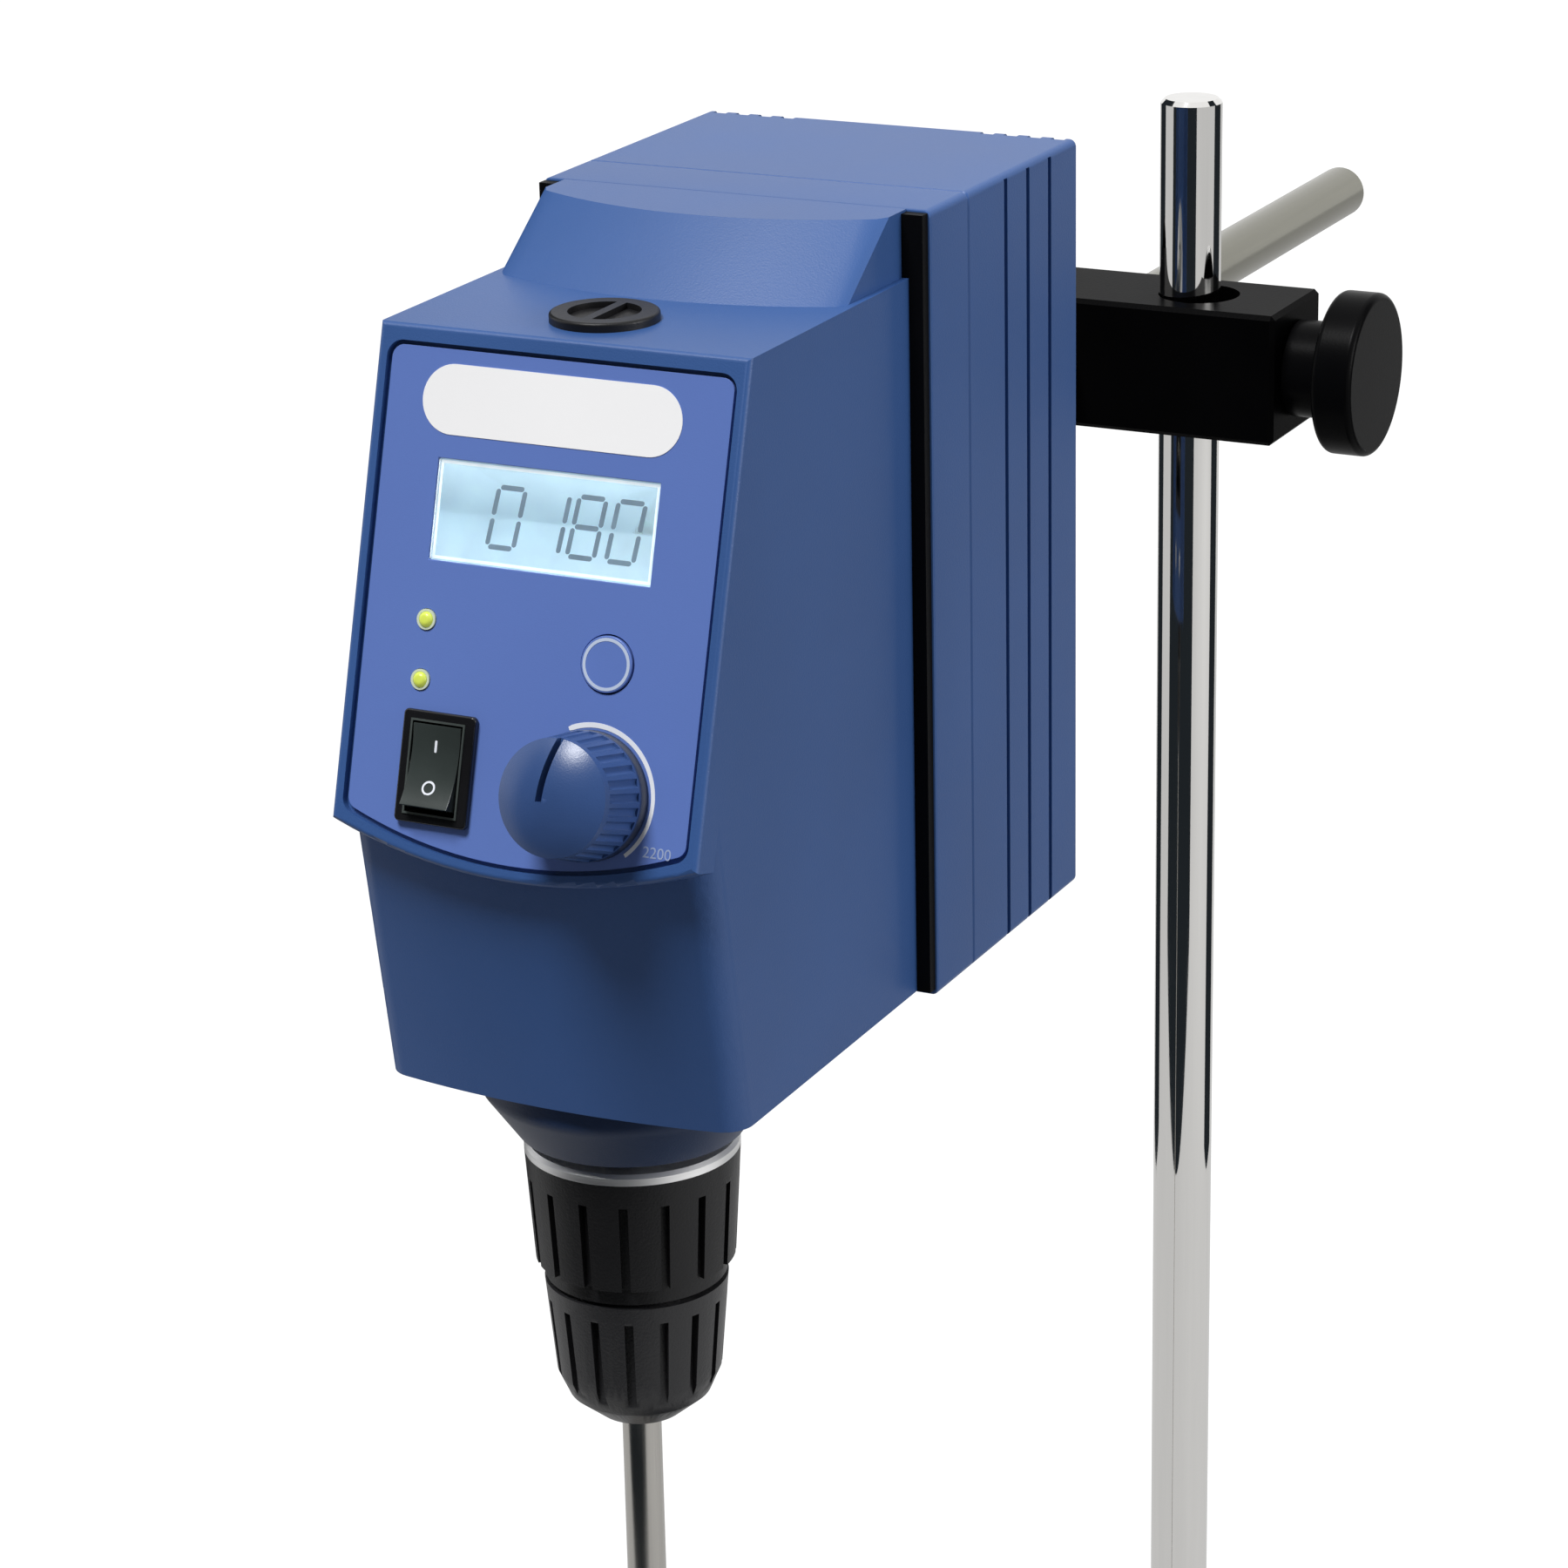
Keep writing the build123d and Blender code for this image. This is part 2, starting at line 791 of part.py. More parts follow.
with BuildPart() as cover_screws:
    with Locations(back_plane):
        with Locations(
            (cover_screw_x, -cover_screw_inset_z),
            (-cover_screw_x, -cover_screw_inset_z),
            (cover_screw_x, cover_screw_inset_z - head_height),
            (-cover_screw_x, cover_screw_inset_z - head_height),
        ):
            Cylinder(
                cover_screw_head / 2,
                cover_screw_head_height,
                align=(Align.CENTER, Align.CENTER, Align.MIN),
            )
            Cylinder(
                cover_screw_diameter / 2,
                cover_screw_length,
                align=(Align.CENTER, Align.CENTER, Align.MAX),
            )
finish(cover_screws, "cover_screws")

inlet_centre = Plane(
    origin=back_plane.from_local_coords((0, -inlet_drop, 0)),
    x_dir=back_plane.x_dir,
    z_dir=back_plane.z_dir,
)

with BuildPart() as power_inlet:
    with BuildSketch(inlet_centre.offset(-inlet_depth)):
        Rectangle(inlet_width, inlet_height)
    extrude(amount=inlet_depth)
    with BuildSketch(inlet_centre):
        Rectangle(inlet_width + 2 * inlet_flange, inlet_height + 2 * inlet_flange)
    extrude(amount=inlet_flange_thickness)
    with BuildSketch(inlet_centre.offset(inlet_flange_thickness)):
        Rectangle(inlet_width - 2 * inlet_wall, inlet_height - 2 * inlet_wall)
    extrude(amount=inlet_floor - inlet_depth - inlet_flange_thickness, mode=Mode.SUBTRACT)
    with BuildSketch(inlet_centre.offset(inlet_floor - inlet_depth)):
        with Locations((-pin_pitch, 0), (0, pin_width), (pin_pitch, 0)):
            Rectangle(pin_width, pin_height)
    extrude(amount=pin_length)
finish(power_inlet, "power_inlet")

# ---------------------------------------------------------------- control panel

with BuildPart() as control_panel:
    extrude(
        panel_outline(
            panel.offset(-panel_recess),
            panel_width,
            panel_top_margin,
            panel_side_length,
            panel_bow,
            corner=panel_corner,
        ),
        amount=panel_thickness,
    )
    with BuildSketch(panel):
        with Locations((display_x, display_y)):
            Rectangle(display_width, display_height)
        with Locations((rocker_x, rocker_y)):
            Rectangle(rocker_body_width + panel_gap, rocker_body_height + panel_gap)
        with Locations((light_x, light_upper_y), (light_x, light_lower_y)):
            Circle(light_diameter / 2 + running_clearance)
        with Locations((button_x, button_y)):
            Circle(button_diameter / 2 + button_gap)
        with Locations((knob_x, knob_y)):
            Circle(bushing_diameter / 2 + running_clearance)
    extrude(amount=-panel_recess, mode=Mode.SUBTRACT)
finish(control_panel, "control_panel")

panel_face = panel_thickness - panel_recess

with BuildPart() as display_window:
    with BuildSketch(panel_spot(display_x, display_y, -panel_recess)):
        Rectangle(display_width - panel_gap, display_height - panel_gap)
    extrude(amount=display_glass)
finish(display_window, "display_window")

with BuildPart() as display_module:
    with BuildSketch(panel_spot(display_x, display_y, -panel_recess)):
        Rectangle(
            display_width + 2 * display_module_margin - panel_gap,
            display_height + 2 * display_module_margin - panel_gap,
        )
    extrude(amount=panel_recess - board_gap)
finish(display_module, "display_module")

board_height = board_bottom - board_top

with BuildPart() as display_board:
    with BuildSketch(panel.offset(-board_gap)):
        with Locations((0, -(board_top + board_bottom) / 2)):
            Rectangle(board_width, board_height)
        with Locations((rocker_x, rocker_y)):
            Rectangle(rocker_body_width + panel_gap, rocker_body_height + panel_gap, mode=Mode.SUBTRACT)
        with Locations((knob_x, knob_y)):
            Circle(bushing_diameter / 2 + running_clearance, mode=Mode.SUBTRACT)
    extrude(amount=-board_thickness)
finish(display_board, "display_board")

with BuildPart() as status_lights:
    for light_y in (light_upper_y, light_lower_y):
        with BuildSketch(panel_spot(light_x, light_y, -board_gap)):
            Circle(light_diameter / 2)
        extrude(amount=board_gap + panel_face + light_stand_out)
    fillet(
        status_lights.edges().filter_by(GeomType.CIRCLE).group_by(Axis.Y)[0],
        radius=light_stand_out / 2,
    )
finish(status_lights, "status_lights")

button_back = button_travel_room - panel_recess - panel_thickness

with BuildPart() as mode_button:
    with BuildSketch(panel_spot(button_x, button_y, button_back)):
        Circle(button_diameter / 2)
    extrude(amount=panel_face + button_stand_out - button_back)
    fillet(mode_button.edges().filter_by(GeomType.CIRCLE).sort_by(Axis.Y)[0], radius=button_stand_out / 2)
finish(mode_button, "mode_button")

with BuildPart() as mode_switch:
    with BuildSketch(panel_spot(button_x, button_y, -board_gap)):
        Rectangle(tact_width, tact_width)
    extrude(amount=board_gap + button_back - button_travel_room)
finish(mode_switch, "mode_switch")

# ---------------------------------------------------------------- power rocker

rocker_seat = panel_spot(rocker_x, rocker_y, panel_face)
rocker_pivot = Plane(origin=rocker_seat.origin, x_dir=rocker_seat.y_dir, z_dir=rocker_seat.x_dir)

with BuildPart() as rocker_frame:
    with BuildSketch(rocker_seat):
        RectangleRounded(rocker_frame_width, rocker_frame_height, rocker_frame_corner)
    extrude(amount=rocker_frame_stand_out)
    fillet(rocker_frame.faces().sort_by(Axis.Y)[0].edges(), radius=rocker_frame_stand_out / 3)
    with BuildSketch(rocker_seat):
        Rectangle(rocker_body_width, rocker_body_height)
    extrude(amount=-rocker_body_depth)
    with BuildSketch(rocker_seat.offset(rocker_frame_stand_out)):
        Rectangle(rocker_pocket_width, rocker_pocket_height)
    extrude(amount=-rocker_pocket_depth - rocker_frame_stand_out, mode=Mode.SUBTRACT)
    with BuildSketch(rocker_pivot):
        Circle(rocker_pivot_diameter / 2 + running_clearance)
    extrude(amount=rocker_pivot_end + running_clearance, both=True, mode=Mode.SUBTRACT)
finish(rocker_frame, "rocker_frame")

# The rocker turns on an axis level with the panel's face. Its section is drawn level, then tipped with
# its upper end pressed in, which is the ON position.
rocker_width = rocker_pocket_width - 2 * rocker_side_gap
rocker_section = Plane(
    origin=rocker_seat.origin,
    x_dir=rocker_seat.y_dir * cos(radians(rocker_tilt)) - rocker_seat.z_dir * sin(radians(rocker_tilt)),
    z_dir=rocker_seat.x_dir,
)
half_rocker = rocker_length / 2

with BuildPart() as rocker:
    with BuildSketch(rocker_section):
        with BuildLine():
            Line((-half_rocker, 0), (-half_rocker, rocker_crown))
            ThreePointArc((-half_rocker, rocker_crown), (0, rocker_valley), (half_rocker, rocker_crown))
            Polyline((half_rocker, rocker_crown), (half_rocker, 0), (rocker_hub_radius, -rocker_hub_radius))
            Line((rocker_hub_radius, -rocker_hub_radius), (-rocker_hub_radius, -rocker_hub_radius))
            Line((-rocker_hub_radius, -rocker_hub_radius), (-half_rocker, 0))
        make_face()
    extrude(amount=rocker_width / 2, both=True)
    # Pivots in both sides of the frame.
    with BuildSketch(rocker_pivot):
        Circle(rocker_pivot_diameter / 2)
    extrude(amount=rocker_pivot_end, both=True)
finish(rocker, "rocker")

# ---------------------------------------------------------------- speed knob

knob_seat = panel_spot(knob_x, knob_y, panel_face)
knob_section = section(knob_seat)
knob_axis = Axis(knob_seat.origin, knob_seat.z_dir)
knob_shoulder = knob_height - knob_dome
knob_narrowing = (knob_base_diameter - knob_front_diameter) / 2
knob_side_height = knob_shoulder - knob_gap - knob_skirt
knob_taper = degrees(atan2(knob_narrowing, knob_side_height))
pointer_plane = knob_seat.offset(knob_shoulder - knob_pointer_depth).rotated((0, 0, -knob_pointer_angle))
knob_flute_circle = knob_base_diameter / 2 + knob_flute_diameter / 2 - knob_flute_depth

with BuildPart() as speed_knob:
    with BuildSketch(knob_section):
        with BuildLine():
            Polyline(
                (0, knob_height),
                (0, knob_gap),
                (knob_base_diameter / 2, knob_gap),
                (knob_base_diameter / 2, knob_gap + knob_skirt),
                (knob_front_diameter / 2, knob_shoulder),
            )
            RadiusArc(
                (knob_front_diameter / 2, knob_shoulder),
                (0, knob_height),
                -((knob_front_diameter / 2) ** 2 + knob_dome**2) / (2 * knob_dome),
            )
        make_face()
    revolve(axis=knob_axis)
    # Flutes that follow the knob's taper.
    with Locations(knob_seat.offset(knob_gap + knob_skirt + knob_flute_start)):
        with PolarLocations(knob_flute_circle, knob_flutes, start_angle=180 / knob_flutes):
            Cylinder(
                knob_flute_diameter / 2,
                knob_side_height - knob_flute_start - knob_flute_end,
                rotation=(0, -knob_taper, 0),
                align=(Align.CENTER, Align.CENTER, Align.MIN),
                mode=Mode.SUBTRACT,
            )
    # Pointer slot from the middle of the dome to its rim.
    with BuildSketch(pointer_plane):
        with Locations((0, -knob_pointer_tail)):
            Rectangle(
                knob_pointer_width,
                knob_front_diameter + knob_pointer_tail,
                align=(Align.CENTER, Align.MIN),
            )
    extrude(amount=knob_height, mode=Mode.SUBTRACT)
    with BuildSketch(knob_seat):
        Circle(knob_shaft_diameter / 2 + running_clearance)
    extrude(amount=knob_socket_depth, mode=Mode.SUBTRACT)
    with BuildSketch(knob_seat):
        Circle(bushing_diameter / 2 + bushing_nut_margin)
    extrude(amount=knob_gap + bushing_nut_height, mode=Mode.SUBTRACT)
finish(speed_knob, "speed_knob")

potentiometer_back = -panel_face - board_gap - board_thickness - potentiometer_depth

with BuildPart() as knob_shaft:
    with BuildSketch(knob_seat.offset(potentiometer_back + knob_shaft_floor)):
        Circle(knob_shaft_diameter / 2)
    extrude(amount=knob_socket_depth - potentiometer_back - knob_shaft_floor)
finish(knob_shaft, "knob_shaft")

with BuildPart() as potentiometer:
    with BuildSketch(knob_seat.offset(potentiometer_back)):
        Circle(potentiometer_diameter / 2)
    extrude(amount=potentiometer_depth)
    with BuildSketch(knob_seat.offset(potentiometer_back)):
        Circle(bushing_diameter / 2)
    extrude(amount=bushing_nut_height - potentiometer_back)
    with BuildSketch(knob_seat.offset(potentiometer_back + knob_shaft_floor)):
        Circle(knob_shaft_diameter / 2 + knob_shaft_clearance)
    extrude(amount=bushing_nut_height - potentiometer_back, mode=Mode.SUBTRACT)
finish(potentiometer, "potentiometer")

# ---------------------------------------------------------------- top cap

cap_seat = below_top(shoulder_drop)

with BuildPart() as top_cap:
    with BuildSketch(cap_seat):
        Circle(cap_diameter / 2)
    extrude(amount=cap_height)
    fillet(top_cap.edges().sort_by(Axis.Z)[-1], radius=cap_height / 3)
    with BuildSketch(cap_seat.offset(cap_height)):
        Circle(cap_dish_diameter / 2)
        Rectangle(cap_rib, cap_dish_diameter, mode=Mode.SUBTRACT)
    extrude(amount=-cap_dish_depth, mode=Mode.SUBTRACT)
    with BuildSketch(cap_seat):
        Circle(cap_plug_diameter / 2)
    extrude(amount=-cap_plug_length)
    with BuildSketch(cap_seat.offset(-cap_plug_length)):
        Circle(cap_plug_diameter / 2 - cap_plug_wall)
    extrude(amount=cap_plug_length, mode=Mode.SUBTRACT)
finish(top_cap, "top_cap")

# ---------------------------------------------------------------- gearbox plates, bearings and collar

# Drops below the head's top, from the floor upwards.
lower_plate_top = gear_floor - gear_plate_thickness
upper_plate_bottom = lower_plate_top - gear_plate_space
upper_plate_top = upper_plate_bottom - gear_plate_thickness
low_gear_bottom = lower_plate_top - gear_gap
high_gear_bottom = low_gear_bottom - gear_width - gear_gap * 2

pinion_radius = gear_module * pinion_teeth / 2
idler_large_radius = gear_module * idler_large_teeth / 2
idler_small_radius = gear_module * idler_small_teeth / 2
spindle_gear_radius = gear_module * spindle_gear_teeth / 2
idler_reach = spindle_gear_radius + idler_small_radius
motor_reach = idler_reach + idler_large_radius + pinion_radius
plate_middle = (gear_plate_rear - gear_plate_front) / 2
post_spots = [
    (-post_x, -post_front),
    (post_x, -post_front),
    (-post_x, post_rear),
    (post_x, post_rear),
]


def gear_plate(drop, label, motor_hole):
    """Gearbox plate with bearing seat, idler pin hole and a hole for the motor's shaft."""
    with BuildPart() as plate:
        with BuildSketch(below_top(drop)):
            with Locations((0, plate_middle)):
                RectangleRounded(gear_plate_width, gear_plate_front + gear_plate_rear, post_diameter / 2)
            Circle(bearing_diameter / 2 + running_clearance, mode=Mode.SUBTRACT)
            with Locations((0, idler_reach)):
                Circle(idler_pin_diameter / 2 + grip_clearance, mode=Mode.SUBTRACT)
            with Locations((0, motor_reach)):
                Circle(motor_hole / 2, mode=Mode.SUBTRACT)
        extrude(amount=gear_plate_thickness)
    finish(plate, label)


gear_plate(gear_floor, "gear_plate_lower", motor_shaft_hole)
gear_plate(upper_plate_bottom, "gear_plate_upper", motor_shaft_hole)

with BuildPart() as plate_posts:
    with BuildSketch(below_top(lower_plate_top)):
        with Locations(*post_spots):
            Circle(post_diameter / 2)
    extrude(amount=gear_plate_space)
finish(plate_posts, "plate_posts")

with BuildPart() as spindle_bearings:
    for bearing_drop in (gear_floor, upper_plate_bottom):
        with BuildSketch(below_top(bearing_drop)):
            Circle(bearing_diameter / 2)
            Circle(spindle_diameter / 2 + running_clearance, mode=Mode.SUBTRACT)
        extrude(amount=gear_plate_thickness)
finish(spindle_bearings, "spindle_bearings")

with BuildPart() as chuck_collar:
    with BuildSketch(front):
        with BuildLine():
            Polyline(
                (spindle_diameter / 2 + collar_bore_gap, -gear_floor),
                (spindle_diameter / 2 + collar_bore_gap, -collar_bottom),
                (collar_bottom_diameter / 2, -collar_bottom),
                (collar_top_diameter / 2, -front_height - collar_height / 3),
                (collar_top_diameter / 2, -front_height),
                (collar_spigot_diameter / 2, -front_height),
                (collar_spigot_diameter / 2, -gear_floor),
                close=True,
            )
        make_face()
    revolve(axis=spindle_axis)
    widest_circles = chuck_collar.edges().filter_by(GeomType.CIRCLE).group_by(SortBy.RADIUS)[-1]
    fillet(widest_circles.sort_by(Axis.Z)[0], radius=collar_round)
finish(chuck_collar, "chuck_collar")

# ---------------------------------------------------------------- gears


def gear_outline(plane, teeth, bore, phase):
    """Spur gear outline: straight-flanked teeth, one of them centred on the phase angle."""
    pitch_radius = gear_module * teeth / 2
    tip = pitch_radius + gear_addendum * gear_module
    root = pitch_radius - gear_dedendum * gear_module
    pitch_half = (gear_module * pi / 2 - gear_backlash) / 2
    tip_half = pitch_half - gear_addendum * gear_module * tan(radians(tooth_tip_slope))
    root_half = pitch_half + gear_dedendum * gear_module * tan(radians(tooth_root_slope))
    with BuildSketch(plane) as outline:
        Circle(root)
        with Locations(Rotation(0, 0, phase)):
            with PolarLocations(0, teeth):
                Polygon(
                    (root - gear_module, -root_half),
                    (root, -root_half),
                    (pitch_radius, -pitch_half),
                    (tip, -tip_half),
                    (tip, tip_half),
                    (pitch_radius, pitch_half),
                    (root, root_half),
                    (root - gear_module, root_half),
                    align=None,
                )
        Circle(bore / 2, mode=Mode.SUBTRACT)
    return outline.sketch


def on_idler(drop):
    """Horizontal plane on the idler's axis."""
    return below_top(drop).moved(Location((0, idler_reach, 0)))


def on_motor(drop):
    """Horizontal plane on the motor's axis."""
    return below_top(drop).moved(Location((0, motor_reach, 0)))


with BuildPart() as spindle_gear:
    extrude(
        gear_outline(
            below_top(high_gear_bottom),
            spindle_gear_teeth,
            spindle_diameter + 2 * grip_clearance,
            90,
        ),
        amount=gear_width,
    )
finish(spindle_gear, "spindle_gear")

with BuildPart() as idler_gear:
    extrude(
        gear_outline(
            on_idler(high_gear_bottom),
            idler_small_teeth,
            idler_pin_diameter + 2 * running_clearance,
            -90 + 180 / idler_small_teeth,
        ),
        amount=gear_width,
    )
    extrude(
        gear_outline(
            on_idler(low_gear_bottom),
            idler_large_teeth,
            idler_pin_diameter + 2 * running_clearance,
            90,
        ),
        amount=gear_width,
    )
    with BuildSketch(on_idler(low_gear_bottom - gear_width)):
        Circle(idler_small_radius - gear_dedendum * gear_module)
        Circle(idler_pin_diameter / 2 + running_clearance, mode=Mode.SUBTRACT)
    extrude(amount=2 * gear_gap)
finish(idler_gear, "idler_gear")

with BuildPart() as idler_pin:
    with BuildSketch(on_idler(gear_floor)):
        Circle(idler_pin_diameter / 2)
    extrude(amount=gear_floor - upper_plate_top)
finish(idler_pin, "idler_pin")

with BuildPart() as motor_pinion:
    extrude(
        gear_outline(
            on_motor(low_gear_bottom),
            pinion_teeth,
            motor_shaft_diameter + 2 * grip_clearance,
            -90 + 180 / pinion_teeth,
        ),
        amount=gear_width,
    )
finish(motor_pinion, "motor_pinion")

with BuildPart() as motor_shaft:
    with BuildSketch(on_motor(low_gear_bottom)):
        Circle(motor_shaft_diameter / 2)
    extrude(amount=low_gear_bottom - upper_plate_top + motor_height / 2)
finish(motor_shaft, "motor_shaft")

with BuildPart() as motor_body:
    with BuildSketch(on_motor(upper_plate_top)):
        Circle(motor_diameter / 2)
    extrude(amount=motor_height)
    chamfer(motor_body.edges().sort_by(Axis.Z)[-1], length=motor_edge)
    with BuildSketch(on_motor(upper_plate_top)):
        Circle(motor_shaft_diameter / 2 + running_clearance)
    extrude(amount=motor_height / 2 + gear_gap, mode=Mode.SUBTRACT)
finish(motor_body, "motor_body")

driver_board_reach = back_depth - wall - driver_board_standoff
board_back = behind_spindle(driver_board_reach)
driver_board_height = inlet_drop - inlet_height / 2 - driver_board_inlet_gap - driver_board_drop
board_centre_y = -driver_board_drop - driver_board_height / 2

with BuildPart() as driver_board:
    with BuildSketch(board_back):
        with Locations((0, board_centre_y)):
            Rectangle(driver_board_width, driver_board_height)
        with Locations((0, arm_y)):
            Rectangle(
                arm_block_width + 2 * board_cutout_gap,
                arm_block_height + 2 * board_cutout_gap,
                mode=Mode.SUBTRACT,
            )
    extrude(amount=-driver_board_thickness)
    with BuildSketch(board_back):
        with GridLocations(
            driver_board_width - 2 * board_cutout_gap - board_leg,
            driver_board_height - 2 * board_cutout_gap - board_leg,
            2,
            2,
        ):
            with Locations((0, board_centre_y)):
                Circle(board_leg / 2)
    extrude(amount=driver_board_standoff)
finish(driver_board, "driver_board")

# ---------------------------------------------------------------- spindle

spindle_bottom_height = chuck_socket_height
spindle_top = shoulder_drop + cap_plug_length + spindle_top_gap

with BuildPart() as spindle:
    with BuildSketch(above_nose(spindle_bottom_height)):
        Circle(spindle_diameter / 2)
        Circle(spindle_bore / 2, mode=Mode.SUBTRACT)
    extrude(amount=chuck_bottom - spindle_bottom_height - spindle_top)
finish(spindle, "spindle")

# ---------------------------------------------------------------- keyless chuck

jaw_lean = radians(jaw_angle)
jaw_half_reach = jaw_diameter / 2 / cos(jaw_lean)
nut_top_height = nut_bottom_height + nut_height


def jaw_outer(height):
    """Radius of the jaws' outer side at a height above the nose."""
    return jaw_tip_radius + (height - jaw_tip_height) * tan(jaw_lean) + jaw_half_reach


def radial(angle, height):
    """Horizontal plane above the nose whose local x points outwards at an angle."""
    return Plane(
        origin=above_nose(height).origin,
        x_dir=(cos(radians(angle)), sin(radians(angle)), 0),
        z_dir=(0, 0, 1),
    )


def jaw_bore(angle):
    """Plane across a jaw's sloping axis, at the level of its tip."""
    outward = Vector(cos(radians(angle)), sin(radians(angle)), 0)
    return Plane(
        origin=above_nose(jaw_tip_height).origin + outward * jaw_tip_radius,
        x_dir=(-sin(radians(angle)), cos(radians(angle)), 0),
        z_dir=outward * sin(jaw_lean) + Vector(0, 0, cos(jaw_lean)),
    )


jaw_angles = [90, 210, 330]
body_radius = chuck_body_diameter / 2
sleeve_bore_radius = sleeve_bore_diameter / 2
socket_radius = spindle_diameter / 2 + running_clearance

with BuildPart() as chuck_body:
    with BuildSketch(front) as body_profile:
        with BuildLine():
            Polyline(
                (chuck_bore / 2, nose_floor_height - chuck_bottom),
                (nose_opening_diameter / 2 - sleeve_clearance, nose_floor_height - chuck_bottom),
                (
                    nose_shoulder_diameter / 2 - nose_wall - sleeve_clearance,
                    nose_shoulder_height + nose_wall - chuck_bottom,
                ),
                (sleeve_bore_radius - sleeve_clearance, front_sleeve_wall_height - chuck_bottom),
                (sleeve_bore_radius - sleeve_clearance, nut_bottom_height - nut_gap - chuck_bottom),
                (jaw_outer(nut_bottom_height) - nut_gap, nut_bottom_height - nut_gap - chuck_bottom),
                (jaw_outer(nut_top_height) - nut_gap, nut_top_height + nut_gap - chuck_bottom),
                (body_radius, nut_top_height + nut_gap - chuck_bottom),
                (body_radius, -chuck_top - ring_thickness),
                (socket_radius, -chuck_top - ring_thickness),
                (socket_radius, chuck_socket_height - chuck_bottom),
                (chuck_bore / 2, chuck_socket_height - chuck_bottom),
                close=True,
            )
        make_face()
    revolve(axis=spindle_axis)
    for angle in jaw_angles:
        with BuildSketch(jaw_bore(angle).offset(-2 * jaw_diameter)):
            Circle(jaw_diameter / 2 + jaw_clearance)
        extrude(amount=2 * jaw_diameter + jaw_length + jaw_travel + jaw_end_room, mode=Mode.SUBTRACT)
finish(chuck_body, "chuck_body")

with BuildPart() as chuck_ring:
    with BuildSketch(below_top(chuck_top + ring_thickness)):
        Circle(ring_diameter / 2)
        Circle(socket_radius, mode=Mode.SUBTRACT)
    extrude(amount=ring_thickness)
    chamfer(chuck_ring.faces().sort_by(Axis.Z)[-1].outer_wire().edges(), length=ring_thickness / 3)
finish(chuck_ring, "chuck_ring")


def cut_flutes(inner_diameter, bottom_height):
    """Plan of the sleeve flutes, from the flute floor outwards."""
    with BuildSketch(above_nose(bottom_height)) as flutes:
        with PolarLocations((inner_diameter + ring_diameter) / 2, flute_count):
            Rectangle(ring_diameter, flute_width)
    return flutes.sketch


rear_sleeve_bottom_height = front_sleeve_height + sleeve_seam
lip_top_height = rear_sleeve_bottom_height + rear_sleeve_lip_height
rear_sleeve_top_height = chuck_length - ring_thickness

with BuildPart() as rear_sleeve:
    with BuildSketch(front):
        with BuildLine():
            Polyline(
                (body_radius + grip_clearance, rear_sleeve_bottom_height - chuck_bottom),
                (rear_sleeve_lip_diameter / 2, rear_sleeve_bottom_height - chuck_bottom),
                (rear_sleeve_lip_diameter / 2, lip_top_height - chuck_bottom),
                (rear_sleeve_bottom_diameter / 2, lip_top_height - chuck_bottom),
                (ring_diameter / 2, rear_sleeve_top_height - chuck_bottom),
                (body_radius + grip_clearance, rear_sleeve_top_height - chuck_bottom),
                close=True,
            )
        make_face()
    revolve(axis=spindle_axis)
    extrude(
        cut_flutes(rear_flute_diameter, lip_top_height),
        amount=rear_sleeve_top_height - rear_sleeve_band - lip_top_height,
        mode=Mode.SUBTRACT,
    )
finish(rear_sleeve, "rear_sleeve")

with BuildPart() as front_sleeve:
    with BuildSketch(front):
        with BuildLine():
            Polyline(
                (sleeve_bore_radius, front_sleeve_height - chuck_bottom),
                (front_sleeve_top_diameter / 2, front_sleeve_height - chuck_bottom),
                (front_sleeve_bottom_diameter / 2, front_sleeve_wall_height - chuck_bottom),
                (nose_shoulder_diameter / 2, nose_shoulder_height - chuck_bottom),
                (nose_end_diameter / 2, -chuck_bottom),
                (nose_opening_diameter / 2, -chuck_bottom),
                (nose_opening_diameter / 2, nose_floor_height - sleeve_clearance - chuck_bottom),
                (
                    nose_shoulder_diameter / 2 - nose_wall,
                    nose_shoulder_height + nose_wall - sleeve_clearance - chuck_bottom,
                ),
                (sleeve_bore_radius, front_sleeve_wall_height - sleeve_clearance - chuck_bottom),
                close=True,
            )
        make_face()
    revolve(axis=spindle_axis)
    extrude(
        cut_flutes(front_flute_diameter, nose_shoulder_height),
        amount=front_sleeve_height - rear_sleeve_lip_height - nose_shoulder_height,
        mode=Mode.SUBTRACT,
    )
finish(front_sleeve, "front_sleeve")

with BuildPart() as chuck_nut:
    with BuildSketch(front):
        with BuildLine():
            Polyline(
                (jaw_outer(nut_bottom_height) + nut_gap, nut_bottom_height - chuck_bottom),
                (sleeve_bore_radius - grip_clearance, nut_bottom_height - chuck_bottom),
                (sleeve_bore_radius - grip_clearance, nut_top_height - chuck_bottom),
                (jaw_outer(nut_top_height) + nut_gap, nut_top_height - chuck_bottom),
                close=True,
            )
        make_face()
    revolve(axis=spindle_axis)
finish(chuck_nut, "chuck_nut")

for number, angle in enumerate(jaw_angles, start=1):
    with BuildPart() as jaw:
        with BuildSketch(jaw_bore(angle).offset(-jaw_diameter)):
            Circle(jaw_diameter / 2)
        extrude(amount=jaw_diameter + jaw_length)
        # Upright gripping face, and a level tip.
        with BuildSketch(radial(angle, -jaw_diameter)):
            with Locations((shaft_diameter / 2 + grip_clearance - jaw_diameter, 0)):
                Rectangle(2 * jaw_diameter, 2 * jaw_diameter)
        extrude(amount=chuck_length, mode=Mode.SUBTRACT)
        split(bisect_by=above_nose(jaw_tip_height), keep=Keep.TOP)
    finish(jaw, f"jaw_{number}")

# ---------------------------------------------------------------- stirring shaft and propeller

shaft_bottom_height = shaft_grip - shaft_length

